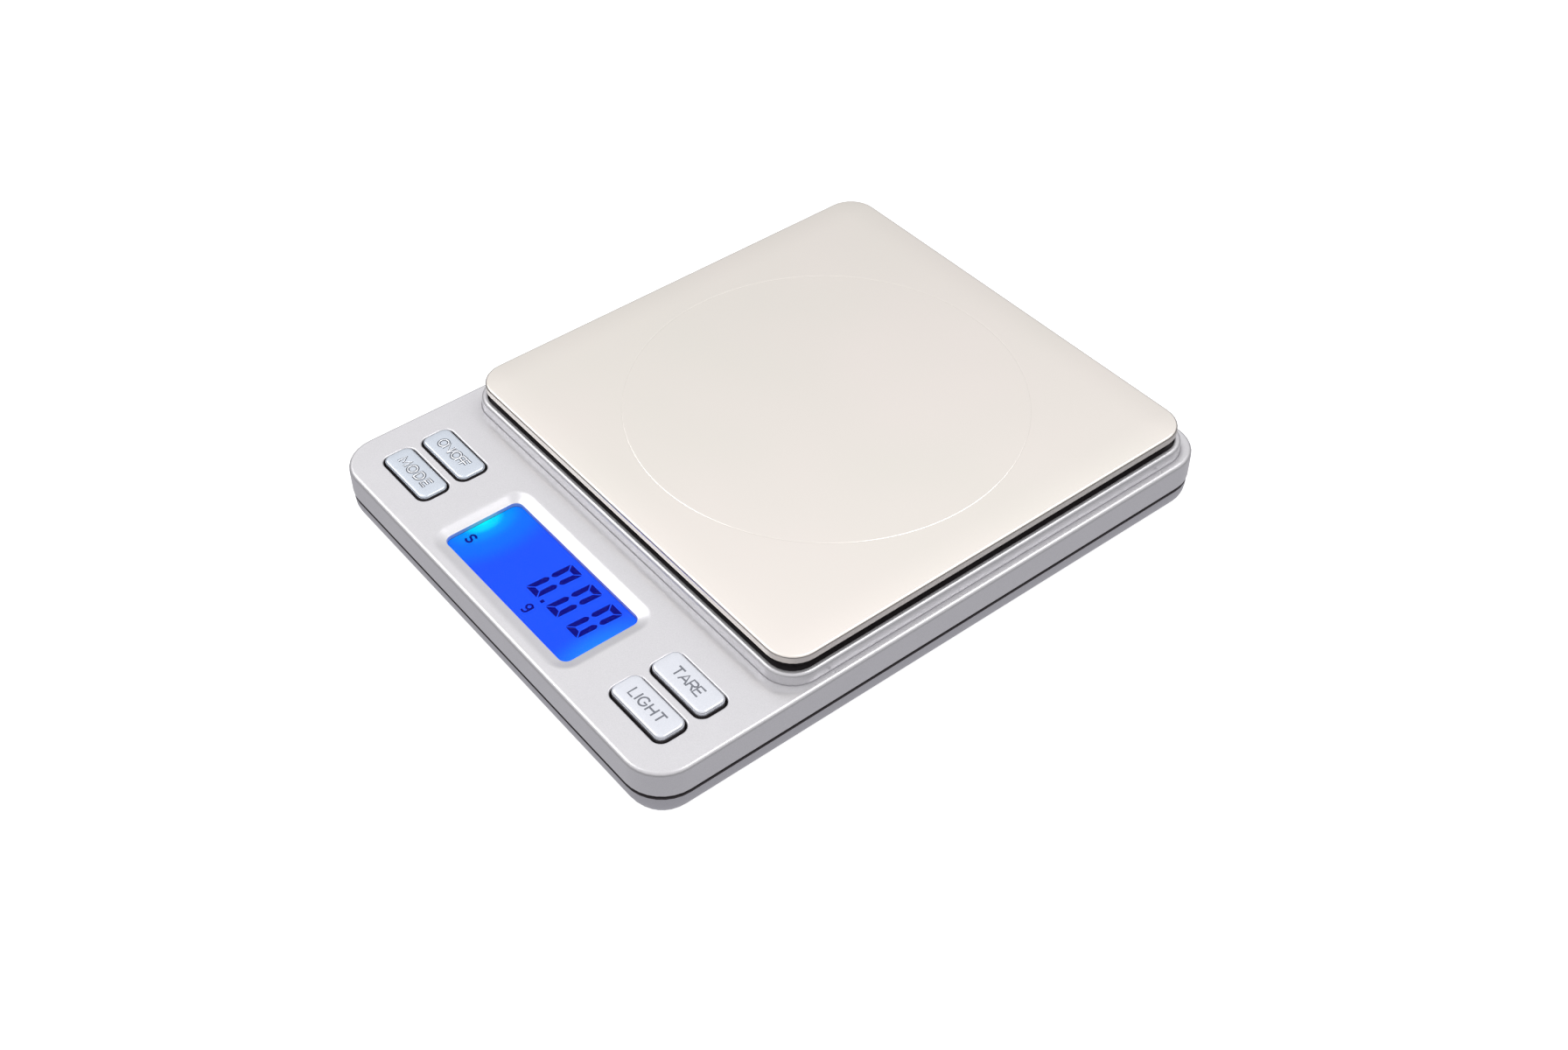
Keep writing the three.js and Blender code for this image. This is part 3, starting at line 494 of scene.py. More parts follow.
def lit_panel():
    """The blue display, with the lamp's cyan pool at its left edge and a faint spill at its right."""
    look = Finish("lit_blue_panel", (0.002, 0.01, 0.1), 0.5, Specular_IOR_Level=0.0)
    place = look.node("ShaderNodeNewGeometry")

    def pool(x, y, radius_x, radius_y, stops):
        """Colours that change outwards from x, y, in an ellipse."""
        offset = look.node("ShaderNodeVectorMath", operation="SUBTRACT")
        offset.inputs[1].default_value = (x * MM, y * MM, 0)
        scale = look.node("ShaderNodeVectorMath", operation="MULTIPLY")
        scale.inputs[1].default_value = (1 / (radius_x * MM), 1 / (radius_y * MM), 0)
        length = look.node("ShaderNodeVectorMath", operation="LENGTH")
        look.link(place.outputs["Position"], offset.inputs[0])
        look.link(offset.outputs["Vector"], scale.inputs[0])
        look.link(scale.outputs["Vector"], length.inputs[0])
        ramp = look.node("ShaderNodeValToRGB")
        ramp.color_ramp.interpolation = "EASE"
        set_stops(ramp.color_ramp, stops)
        look.link(length.outputs["Value"], ramp.inputs["Fac"])
        return ramp.outputs["Color"]

    blue = (0.012, 0.08, 1.0)
    lamp = pool(-WINDOW_W / 2 - 0.6, DISPLAY_Y + 0.6, 14, 21, (
        (0.0, (0.0, 1.0, 1.0)), (0.13, (0.0, 0.66, 1.0)), (0.24, (0.0, 0.27, 1.0)),
        (0.42, (0.004, 0.15, 1.0)), (0.85, blue),
    ))
    spill = pool(WINDOW_W / 2, DISPLAY_Y - 1, 6, 15, ((0.0, (0.0, 0.14, 0.1)), (1.0, (0, 0, 0))))
    both = look.node("ShaderNodeMix", data_type="RGBA", blend_type="ADD")
    both.inputs["Factor"].default_value = 1.0
    look.link(lamp, both.inputs["A"])
    look.link(spill, both.inputs["B"])
    look.link(both.outputs["Result"], look.shader.inputs["Emission Color"])
    look.shader.inputs["Emission Strength"].default_value = 1.22
    return look.material


def dark_segment():
    look = Finish(
        "dark_lcd_segment", (0.002, 0.002, 0.02), 0.5, Specular_IOR_Level=0.0, Emission_Strength=1.0,
    )
    look.shader.inputs["Emission Color"].default_value = (0.002, 0.002, 0.25, 1)
    look.color_between(look.noise(0.4, 1), (0.001, 0.001, 0.01), (0.002, 0.002, 0.014))
    return look.material


SILVER = silver_paint("silver_case_paint", (0.7, 0.695, 0.715), 0.3, 0.5)
LOWER_SILVER = silver_paint("silver_base_paint", (0.545, 0.54, 0.57), 0.33, 0.5)
# Bare black plastic for the hidden insides, also used as painted shade: it darkens the well under the
# platform, the gaps round the keys and the seam.
BARE_BLACK_AND_PAINTED_SHADE = moulded(
    "bare_black_abs_and_painted_shade", (0.06, 0.053, 0.057), 0.65, 0.35, 0.01, 0.15, Specular_IOR_Level=0.2,
)
KEY_SILVER = silver_paint("silver_key_paint", (0.70, 0.76, 0.84), 0.24, 0.75)
KEY_PALE = silver_paint("pale_key_paint", (0.8, 0.825, 0.885), 0.24, 0.7)
# The left keys' letters, paler than the cap: a painted highlight on the raised strokes.
LETTER = silver_paint("key_letter_painted_highlight", (0.9, 0.93, 0.98), 0.24, 0.6)
# A dark flat outline under the left keys' letters: painted shade round the raised strokes.
LETTER_OUTLINE_PAINTED_SHADE = moulded("key_letter_outline_painted_shade", (0.06, 0.068, 0.085), 0.5, 0.1, 0.002)
# Grey for the right keys' letters: painted shade standing in for the shade of engraved letters.
LETTER_GREY_PAINTED_SHADE = moulded("key_letter_grey_painted_shade", (0.17, 0.18, 0.21), 0.45, 0.1, 0.002)
STEEL = satin_steel("satin_steel")
# A darker copy of the same steel, as painted shade on the platform's wall.
STEEL_PAINTED_SHADE = satin_steel("satin_steel_painted_shade", 0.72)
SCREW = metal("zinc_screw", (0.72, 0.73, 0.75), 0.28)
NICKEL = metal("nickel_contact", (0.78, 0.76, 0.72), 0.24)
ALUMINIUM = metal("milled_aluminium", (0.78, 0.79, 0.81), 0.34, 0.2, (25, 1, 1))
BLACK = moulded("black_abs", (0.045, 0.04, 0.042), 0.55, 0.35, 0.012, 0.15)
RUBBER = soft_rubber()
CLEAR = clear_acrylic()
LIT_PANEL = lit_panel()
SEGMENT = dark_segment()
WHITE = moulded("white_abs", (0.82, 0.82, 0.8), 0.5)
FOAM = moulded("foam_tape", (0.84, 0.84, 0.8), 0.85, 0.4, 0.03)
SILICONE = moulded("white_silicone", (0.86, 0.86, 0.83), 0.35, 1.2, 0.03)
BOARD = moulded("green_solder_mask", (0.02, 0.16, 0.07), 0.32, 0.5, 0.004, 0.12)
EPOXY = moulded("black_epoxy", (0.012, 0.012, 0.013), 0.16, 1.5, 0.02, 0.1)
SWITCH = moulded("switch_plastic", (0.03, 0.03, 0.033), 0.45)
PLUNGER = moulded("plunger_plastic", (0.7, 0.68, 0.62), 0.45)
GUIDE = moulded("frosted_acrylic", (0.8, 0.86, 0.95), 0.4, 0.15, 0.004)
ZEBRA = moulded("zebra_elastomer", (0.2, 0.2, 0.21), 0.7)
JACKET = moulded("battery_jacket", (0.10, 0.13, 0.17), 0.32, 2.0, 0.004, 0.08)
JACKET_BAND = moulded("battery_jacket_band", (0.5, 0.31, 0.12), 0.3, 2.0, 0.004, 0.08, 0.6)
WIRE_RED = moulded("red_insulation", (0.55, 0.02, 0.02), 0.4)
WIRE_BLACK = moulded("black_insulation", (0.02, 0.02, 0.02), 0.4)


# ---------------------------------------------------------------- camera, light and floor

CAMERA_PLACE = (0.22443, -0.17759, 0.27126)
CAMERA_AZIMUTH_DEG = 53.503
CAMERA_ELEVATION_DEG = 44.122
CAMERA_ROLL_DEG = -1.671
CAMERA_LENS = 45.21
CAMERA_SHIFT = (0.0383, -0.0004)
SOFTBOX_SIZE = 0.4
SOFTBOX_ENERGY = 1.4
SOFTBOX_DISTANCE = 0.8
FLOOR_HALF = 2.0


def place_camera():
    azimuth = math.radians(CAMERA_AZIMUTH_DEG)
    elevation = math.radians(CAMERA_ELEVATION_DEG)
    roll = math.radians(CAMERA_ROLL_DEG)
    back = Vector((
        math.sin(azimuth) * math.cos(elevation),
        -math.cos(azimuth) * math.cos(elevation),
        math.sin(elevation),
    ))
    level_right = Vector((math.cos(azimuth), math.sin(azimuth), 0))
    level_up = back.cross(level_right)
    right = math.cos(roll) * level_right + math.sin(roll) * level_up
    up = -math.sin(roll) * level_right + math.cos(roll) * level_up
    data = bpy.data.cameras.new("camera")
    data.sensor_width = 36
    data.lens = CAMERA_LENS
    data.shift_x, data.shift_y = CAMERA_SHIFT
    data.clip_start = 0.01
    camera = add_object("camera", data)
    turn = Matrix((right, up, back)).transposed().to_4x4()
    camera.matrix_world = Matrix.Translation(CAMERA_PLACE) @ turn
    bpy.context.scene.camera = camera


def light_studio():
    """A world that runs from a mid floor through a dark horizon to a white ceiling, and two softboxes."""
    scene = bpy.context.scene
    scene.view_settings.view_transform = "Standard"
    world = bpy.data.worlds.new("studio")
    scene.world = world
    world.use_nodes = True
    tree = world.node_tree
    background = tree.nodes["Background"]
    direction = tree.nodes.new("ShaderNodeTexCoord")
    split = tree.nodes.new("ShaderNodeSeparateXYZ")
    ramp = tree.nodes.new("ShaderNodeValToRGB")
    lift = tree.nodes.new("ShaderNodeMapRange")
    lift.inputs["From Min"].default_value = -1
    levels = (
        (0.0, 0.64), (0.15, 0.64), (0.36, 0.35), (0.47, 0.13), (0.5, 0.1), (0.58, 0.2),
        (0.69, 0.72), (0.78, 0.82), (0.86, 1.04), (1.0, 1.04),
    )
    set_stops(ramp.color_ramp, [
        (position, (value, value * 0.99, value * (1.05 if position < 0.5 else 1.0)))
        for position, value in levels
    ])
    tree.links.new(direction.outputs["Generated"], split.inputs["Vector"])
    tree.links.new(split.outputs["Z"], lift.inputs["Value"])
    tree.links.new(lift.outputs["Result"], ramp.inputs["Fac"])
    tree.links.new(ramp.outputs["Color"], background.inputs["Color"])
    background.inputs["Strength"].default_value = 0.92
    add_softbox("rear_right_softbox", (0.14, 0.43, 0.89))
    add_softbox("front_left_softbox", (-0.58, -0.24, 0.78))


def add_softbox(name, direction):
    """A square lamp in the given direction, facing the scale."""
    data = bpy.data.lights.new(name, "AREA")
    data.size = SOFTBOX_SIZE
    data.energy = SOFTBOX_ENERGY
    lamp = add_object(name, data)
    lamp.location = Vector(direction).normalized() * SOFTBOX_DISTANCE
    lamp.rotation_euler = (-lamp.location).to_track_quat("-Z", "Y").to_euler()


def lay_floor():
    """A white floor, clear when seen from below and absent from reflections and bounced light."""
    mesh = bpy.data.meshes.new("floor")
    corners = [(x * FLOOR_HALF, y * FLOOR_HALF, 0) for x, y in ((-1, -1), (1, -1), (1, 1), (-1, 1))]
    mesh.from_pydata(corners, [], [(0, 1, 2, 3)])
    floor = add_object("floor", mesh)
    look = Finish("pale_floor", (0.5, 0.5, 0.5), 0.9, Emission_Strength=0.84)
    look.shader.inputs["Emission Color"].default_value = (1, 1, 1, 1)
    side = look.node("ShaderNodeNewGeometry")
    clear = look.node("ShaderNodeBsdfTransparent")
    mix = look.node("ShaderNodeMixShader")
    look.link(side.outputs["Backfacing"], mix.inputs["Fac"])
    look.link(look.shader.outputs["BSDF"], mix.inputs[1])
    look.link(clear.outputs["BSDF"], mix.inputs[2])
    look.link(mix.outputs["Shader"], look.tree.nodes["Material Output"].inputs["Surface"])
    mesh.materials.append(look.material)
    floor.visible_diffuse = False
    floor.visible_glossy = False


# ---------------------------------------------------------------- case

def key_place(key):
    """The outline of a key's cap, inside its flange."""
    x, y, width, depth, _, _ = extent(f"{key}_key")
    return (x, y, width - 2 * KEY_FLANGE, depth - 2 * KEY_FLANGE, KEY_R)


def gutter_ring(reach, z):
    """A ring round the foot of the lip, drawn out further in front than elsewhere."""
    front = GUTTER_FOOT + (reach - GUTTER_FOOT) * GUTTER_FRONT
    depth = LIP_W + reach + front
    return outline((PLATE_X, PLATE_Y + (reach - front) / 2, LIP_W + 2 * reach, depth, LIP_R + reach), 0, z)


def upper_case():
    """One moulding: silver outside and down to the window's foot, black inside; the black is bare plastic
    where hidden, and painted shade on the lip's inner face, the well floor, the key holes' lower walls and
    the seam.
    """
    skin = Skin()
    _, panel_rim = skin.loft(CASE_PLACE, [
        (0, SEAM_HIGH_Z + SEAM_BEVEL),
        *arc(-PANEL_EDGE_R, PANEL_Z - PANEL_EDGE_R, PANEL_EDGE_R, 0, 90, 8),
    ])
    steps = [k / GUTTER_STEPS for k in range(GUTTER_STEPS + 1)]
    gutter_rim, gutter_foot = skin.stack([
        gutter_ring(GUTTER_FOOT + (GUTTER_REACH - GUTTER_FOOT) * (1 - t), PANEL_Z - GUTTER_DEPTH * t * t)
        for t in steps
    ])
    lip_low, _ = skin.loft(LIP_PLACE, [
        (0.02, PANEL_Z - GUTTER_DEPTH + 0.02),
        *arc(-LIP_SHOULDER, LIP_TOP_Z - LIP_ROUND_H, LIP_ROUND_W, 0, 90, 10, LIP_ROUND_H / LIP_ROUND_W),
        *arc(LIP_INSIDE, LIP_TOP_Z - LIP_EDGE_R, LIP_EDGE_R, 90, 180, 6),
    ])
    foot_line = skin.ring(outline(LIP_PLACE, FOOT_LINE_OUT, PANEL_Z - GUTTER_DEPTH - FOOT_LINE_DROP))
    skin.bridge(gutter_foot, foot_line)
    skin.bridge(foot_line, lip_low)
    recess_rim, _ = skin.loft(WINDOW_PLACE, [
        (2.75, PANEL_Z), (2.45, PANEL_Z - 0.025), (2.15, PANEL_Z - 0.09), (1.85, PANEL_Z - 0.18),
        (1.2, PANEL_Z - 0.4), (0.5, PANEL_Z - 0.63), (0.22, PANEL_Z - 0.7), (0.08, RECESS_Z - 0.01),
        (WINDOW_FIT, RECESS_Z - 0.1), (0.0, CEILING_Z + 0.1),
    ])
    # Black from here: painted shade on the lip's inner face and the seam bevel, bare plastic on the hidden
    # inside.
    skin.tint = 1
    inner_rim, _ = skin.loft(CASE_PLACE, [
        (-WALL_T, CEILING_Z), (-WALL_T, TONGUE_TOP_Z + 0.3), (-WALL_T / 2 + 0.1, TONGUE_TOP_Z + 0.3),
        (-WALL_T / 2 + 0.1, SEAM_HIGH_Z), (-0.1, SEAM_HIGH_Z), (0, SEAM_HIGH_Z + SEAM_BEVEL),
    ])
    _, well_rim = skin.loft(LIP_PLACE, [(-LIP_T, LIP_TOP_Z - LIP_EDGE_R), (-LIP_T, WELL_FLOOR_Z)])
    _, window_base = skin.loft(WINDOW_PLACE, [(0, CEILING_Z + 0.1), (0, CEILING_Z)])
    skin.tint = 0
    panel_holes = [gutter_rim, recess_rim]
    ceiling_holes = [window_base]
    key_rim = arc(KEY_GAP + KEY_RIM_R, PANEL_Z - KEY_RIM_R, KEY_RIM_R, 90, 165, 6)
    for key in KEY_NAMES:
        rim, _ = skin.loft(key_place(key), key_rim)
        # The lower wall of each key hole is black, as painted shade in the gap round the key.
        skin.tint = 1
        _, base = skin.loft(key_place(key), [key_rim[-1], (KEY_GAP, PANEL_Z - 0.6), (0.25, CEILING_Z)])
        skin.tint = 0
        panel_holes.append(rim)
        ceiling_holes.append(base)
    skin.fill(panel_rim, *panel_holes)
    # The well floor is black as painted shade where it shows past the platform; the rest below is hidden
    # bare plastic.
    skin.tint = 1
    under_w = LIP_W - 2 * LIP_T - 0.8
    under_place = (PLATE_X, PLATE_Y, under_w, under_w, LIP_R - LIP_T)
    under_z = WELL_FLOOR_Z - WELL_FLOOR_T
    under_base, under_rim = skin.loft(under_place, [(0, CEILING_Z), (0, under_z)])
    slot_place = (CARRIER_SLOT_X, PLATE_Y, CARRIER_SLOT_W, CARRIER_SLOT_D, 1)
    opening_rim, opening_base = skin.loft(slot_place, [(0, WELL_FLOOR_Z), (0, under_z)])
    skin.fill(inner_rim, under_base, *ceiling_holes)
    skin.fill(well_rim, opening_rim)
    skin.fill(under_rim, opening_base)
    for corner in CORNERS:
        x, y = centre(f"case_screw_{corner}")
        top = CEILING_Z if y < 0 else under_z
        add_tube(skin, x, y, outer_r=2.6, bore_r=1.1, low_z=7, high_z=top, bore_z=10.9)
        x, y = centre(f"board_screw_{corner}")
        add_tube(skin, x, y, outer_r=1.9, bore_r=0.8, low_z=6.3, high_z=CEILING_Z, bore_z=10.8)
    piece = make_object("upper_case", skin, (SILVER, BARE_BLACK_AND_PAINTED_SHADE), "case")
    dimples = Skin()
    for _, side in SIDES:
        for along in DIMPLE_ALONG:
            place = (PLATE_X + side * (LIP_W / 2 + DIMPLE_OUT), PLATE_Y + along, DIMPLE_R)
            dimples.solid(place, [
                (-DIMPLE_R / 2, PANEL_Z - 0.3), (0, PANEL_Z - 0.12), (0, PANEL_Z + 0.5),
            ])
    cut_away(piece, dimples)
    stand_for(piece, "silver_case", "upper_housing")


def add_tube(skin, x, y, outer_r, bore_r, low_z, high_z, bore_z):
    """A moulded screw post with a blind bore from below."""
    base, top = skin.loft((x, y, outer_r), [(0, low_z), (0, high_z - 0.002)])
    skin.fill(top)
    mouth, end = skin.loft((x, y, bore_r), [(0, low_z), (0, bore_z)])
    skin.fill(end)
    skin.fill(base, mouth)


def base_ring(grow, z):
    """A ring of the rounded base, whose corners draw in faster than its sides."""
    corner_r = CORNER_R + (BASE_CORNER_TUCK - 1) * (grow + BASE_INSET)
    return outline((CASE_X, CASE_Y, CASE_W, CASE_D, corner_r), grow, z)


def lower_case():
    """One moulding: silver outside, black from the seam inwards: bare plastic, which also serves as painted
    shade in the seam groove.
    """
    skin = Skin()
    round_x = -BASE_INSET - BASE_ROUND_R
    base_rim, _ = skin.stack([
        *(base_ring(*point) for point in arc(round_x, BASE_Z + BASE_ROUND_R, BASE_ROUND_R, -90, 0, 12)),
        base_ring(-BASE_INSET, SEAM_LOW_Z - SEAM_BEVEL),
    ])
    # Black from the seam inwards: bare plastic, also painted shade in the seam groove.
    skin.tint = 1
    _, floor_rim = skin.loft(CASE_PLACE, [
        (-BASE_INSET, SEAM_LOW_Z - SEAM_BEVEL), (-BASE_INSET - 0.1, SEAM_LOW_Z), (-1, SEAM_LOW_Z),
        (-1, TONGUE_TOP_Z - 0.1), (-1.1, TONGUE_TOP_Z),
        (-1.6, TONGUE_TOP_Z), (-1.6, SEAM_LOW_Z), (-1.95, SEAM_LOW_Z), (-1.95, FLOOR_Z + 3),
        *arc(-5.15, FLOOR_Z + 3, 3.2, 0, -90, 6, 3 / 3.2)[1:],
    ])
    skin.tint = 0
    base_holes = []
    floor_holes = []
    for corner in CORNERS:
        x, y, width, _, _, foot_top = extent(f"rubber_foot_{corner}")
        rim, seat = skin.loft((x, y, width / 2 + FOOT_GAP), [
            (POCKET_BEVEL, BASE_Z), (0, BASE_Z + POCKET_BEVEL), (0, foot_top),
        ])
        skin.fill(seat)
        base_holes.append(rim)
        x, y, _, _, head_z, _ = extent(f"case_screw_{corner}")
        foot, rim = add_screw_post(
            skin, x, y, outer_r=2.9, top_z=7, pocket_r=2.3, pocket_z=head_z + CASE_HEAD[1], bore_r=1.2,
        )
        base_holes.append(rim)
        floor_holes.append(foot)
    inner_x, pad_y = centre("cell_base_screw_inner")
    outer_x, _ = centre("cell_base_screw_outer")
    pad_x = (inner_x + outer_x) / 2
    foot, pad_rim = skin.loft((pad_x, pad_y, CELL_PAD_W, CELL_PAD_D, 0.5), [(0, FLOOR_Z), (0, CELL_PAD_Z)])
    floor_holes.append(foot)
    head_d = 2 * CELL_HEAD_R
    shelf, rim = skin.loft((pad_x, pad_y, abs(outer_x - inner_x) + head_d, head_d, CELL_HEAD_R), [
        (0, FLOOR_Z - 0.2), (0, BASE_Z + 0.1), (0.1, BASE_Z),
    ])
    base_holes.append(rim)
    bores = [
        skin.loft((x, pad_y, CELL_SCREW_R), [(0, CELL_PAD_Z), (0, FLOOR_Z - 0.2)])
        for x in (inner_x, outer_x)
    ]
    skin.fill(pad_rim, *(mouth for mouth, _ in bores))
    skin.fill(shelf, *(neck for _, neck in bores))
    foot, stop_top = skin.loft((STOP_X, PLATE_Y, STOP_R), [(0, FLOOR_Z), (0, 4.1), (-0.1, 4.2)])
    skin.fill(stop_top)
    floor_holes.append(foot)
    door_x, _, door_w, _, _, _ = extent("battery_door")
    mouth, foot = skin.loft((door_x, BAY_Y, door_w + 2 * BAY_DOOR_GAP, BAY_D, 0.3), [
        (0.1, BASE_Z), (0, BASE_Z + 0.1), (0, BAY_TOP_Z), (BAY_WALL_T, BAY_TOP_Z), (BAY_WALL_T, FLOOR_Z),
    ])
    base_holes.append(mouth)
    floor_holes.append(foot)
    skin.fill(base_rim, *base_holes)
    skin.tint = 1
    skin.fill(floor_rim, *floor_holes)
    piece = make_object("lower_case", skin, (LOWER_SILVER, BARE_BLACK_AND_PAINTED_SHADE), "case")
    tab_slots = Skin()
    for _, side in SIDES:
        tab_slots.solid((side * TAB_X, TAB_Y, 5, 3, 0.2), [(0, FLOOR_Z + 0.02), (0, FLOOR_Z + 2.4)])
    cut_away(piece, tab_slots)
    stand_for(piece, "silver_case", "lower_housing")


def add_screw_post(skin, x, y, outer_r, top_z, pocket_r, pocket_z, bore_r):
    """A post with a screw hole and a head pocket; gives back its rims on the floor and the base."""
    foot, top = skin.loft((x, y, outer_r), [(0, FLOOR_Z), (0, top_z)])
    mouth, neck = skin.loft((x, y, bore_r), [(0, top_z), (0, pocket_z)])
    shelf, rim = skin.loft((x, y, pocket_r), [
        (0, pocket_z), (0, BASE_Z + POCKET_BEVEL), (POCKET_BEVEL, BASE_Z),
    ])
    skin.fill(top, mouth)
    skin.fill(shelf, neck)
    return foot, rim


def rubber_feet():
    for corner in CORNERS:
        x, y, width, _, low_z, high_z = extent(f"rubber_foot_{corner}")
        skin = Skin()
        radius = width / 2
        skin.solid((x, y, radius), [
            (-1.6, low_z + 0.12), (-1.45, low_z), *arc(-0.45, low_z + 0.45, 0.45, -90, 0, 6), (0, high_z),
        ])
        piece = make_object(f"foot_{corner}", skin, RUBBER, "case")
        stand_for(piece, "foot_rubber", f"rubber_foot_{corner}")


def cross_outline(x, y, reach, half_slot, z):
    """The outline of a cross recess."""
    quarter = [(reach, -half_slot), (reach, half_slot), (half_slot, half_slot)]
    points = []
    for turn in range(4):
        c, s = round(math.cos(turn * math.pi / 2)), round(math.sin(turn * math.pi / 2))
        points.extend((x + c * u - s * v, y + s * u + c * v, z) for u, v in quarter)
    return points


def make_screw(name, node, body, head, head_down=True):
    """A cross-recess screw in a node's place, with ridges for its thread."""
    head_r, head_h = head
    x, y, _, _, low_z, high_z = extent(node)
    shank_r = head_r * 0.5
    up = 1 if head_down else -1
    face_z = low_z if head_down else high_z
    tip_z = high_z if head_down else low_z
    skin = Skin()
    rim, neck = skin.loft((x, y, head_r), [
        (-head_r * 0.22, face_z), *arc(-0.3, face_z + up * 0.3, 0.3, -90 * up, 0, 5),
        (0, face_z + up * head_h), (shank_r - head_r, face_z + up * head_h),
    ])
    mouth, floor = skin.stack([
        cross_outline(x, y, head_r * 0.62, head_r * 0.13, face_z),
        cross_outline(x, y, head_r * 0.4, head_r * 0.1, face_z + up * head_h * 0.7),
    ])
    skin.fill(floor)
    skin.fill(rim, mouth)
    length = abs(tip_z - face_z) - head_h
    turns = max(int(length / THREAD_PITCH), 3)
    crest = shank_r - head_r
    profile = []
    for k in range(turns):
        base = face_z + up * (head_h + length * 0.92 * k / turns)
        rise = up * length * 0.92 / turns
        profile += [(crest, base), (crest - THREAD_DEPTH, base + rise * 0.5)]
    profile += [(crest - THREAD_DEPTH, tip_z - up * 0.2), (shank_r * 0.4 - head_r, tip_z)]
    thread_start, tip = skin.loft((x, y, head_r), profile)
    skin.bridge(neck, thread_start)
    skin.fill(tip)
    piece = make_object(name, skin, SCREW, body)
    stand_for(piece, "screw_steel", node)


def screws():
    for corner in CORNERS:
        make_screw(f"case_fixing_{corner}", f"case_screw_{corner}", "case", CASE_HEAD)
        make_screw(f"board_fixing_{corner}", f"board_screw_{corner}", "case", BOARD_HEAD)
    for place in ("inner", "outer"):
        make_screw(f"cell_fixing_{place}", f"cell_base_screw_{place}", "case", CELL_HEAD)
        make_screw(
            f"carrier_fixing_{place}", f"carrier_screw_{place}", "platform", CELL_HEAD, head_down=False,
        )


# ---------------------------------------------------------------- platform

def steel_platform():
    """A folded sheet, whose top rolls off at its rim; its wall, underside and the lower half of its fold
    take a darker copy of the steel, as painted shade.
    """
    skin = Skin()
    place = (PLATE_X, PLATE_Y, PLATE_W, PLATE_W, PLATFORM_R)
    fold = arc(-FOLD_R, PLATE_TOP_Z - EDGE_ROLL - FOLD_R, FOLD_R, 0, 85, 10)
    inner_x = -SHEET_T - FOLD_INNER_R
    # Darker copy of the steel from here: painted shade on the wall and the lower fold.
    skin.tint = 1
    ceiling_rim, _ = skin.loft(place, [
        *arc(inner_x, PLATE_TOP_Z - SHEET_T - FOLD_INNER_R, FOLD_INNER_R, 90, 0, 5),
        (-SHEET_T, PLATE_LOW_Z + 0.08), (-SHEET_T + 0.08, PLATE_LOW_Z), (-0.08, PLATE_LOW_Z),
        (0, PLATE_LOW_Z + 0.08), *fold[:5],
    ])
    skin.tint = 0
    _, top_rim = skin.loft(place, [
        *fold[4:],
        (-1.4, PLATE_TOP_Z - EDGE_ROLL * 0.72), (-2.6, PLATE_TOP_Z - EDGE_ROLL * 0.42),
        (-4, PLATE_TOP_Z - EDGE_ROLL * 0.17), (-5.6, PLATE_TOP_Z - EDGE_ROLL * 0.03), (-7, PLATE_TOP_Z),
    ])
    skin.fill(ceiling_rim)
    groove = (
        (RING_R + RING_HALF_W, PLATE_TOP_Z), (RING_R, PLATE_TOP_Z - RING_DEPTH),
        (RING_R - RING_HALF_W, PLATE_TOP_Z),
    )
    outer_rim, inner_rim = skin.stack([
        [(PLATE_X + r * math.cos(t), PLATE_Y + r * math.sin(t), z) for t in full_turn(RING_STEPS)]
        for r, z in groove
    ])
    skin.fill(top_rim, outer_rim)
    skin.fill(inner_rim)
    piece = make_object("steel_platform", skin, (STEEL, STEEL_PAINTED_SHADE), "platform", smooth_deg=13)
    stand_for(piece, "platform_steel", "weighing_platform")


def bending_beam():
    """The load cell and its sealant; the real beam bows between its fixed end and its free end, but these
    pieces don't bend.
    """
    x, y, length, width, low_z, high_z = extent("load_cell")
    middle_z = (low_z + high_z) / 2
    bar = Skin()
    half = length / 2
    section = (y, middle_z, width, high_z - low_z, 0.3)
    bar.capped_stack([
        [(x + along, u, v) for u, v, _ in outline(section, -CELL_EDGE if abs(along) == half else 0, 0)]
        for along in (-half, CELL_EDGE - half, *range(-9, 10), half - CELL_EDGE, half)
    ])
    piece = make_object("bending_beam", bar, ALUMINIUM)
    cuts = Skin()
    bore = (0, 0, CELL_BORE_R, CELL_BORE_R)
    waist = CELL_WAIST_DEG
    window = [(CELL_BORE_X + u, v) for u, v in ellipse_arc(*bore, waist - 180, 180 - waist, 24)]
    window += [(u - CELL_BORE_X, v) for u, v in ellipse_arc(*bore, waist, 360 - waist, 24)]
    cuts.capped_stack([
        [(x + u, side, middle_z + v) for u, v in window] for side in (y - width, y + width)
    ])
    for screw in ("cell_base_screw", "carrier_screw"):
        for place in ("inner", "outer"):
            screw_x, _ = centre(f"{screw}_{place}")
            cuts.solid((screw_x, y, CELL_SCREW_R), [(0, low_z - 1), (0, high_z + 1)])
    cut_away(piece, cuts)
    stand_for(piece, "cell_aluminium", "load_cell")
    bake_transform(piece)
    x, y, length, width, low_z, high_z = extent("strain_gauge_sealant")
    blob = Skin()
    blob.solid((x, y, length, width, 2), [
        (0, low_z - 0.05), (-0.05, low_z + 0.3), (-0.3, low_z + 0.62), (-0.9, low_z + 0.85),
        (-1.7, high_z - 0.04), (-2.6, high_z),
    ])
    piece = make_object("gauge_sealant", blob, SILICONE, smooth_deg=60)
    stand_for(piece, "sealant_white", "strain_gauge_sealant")
    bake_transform(piece)


# ---------------------------------------------------------------- battery bay

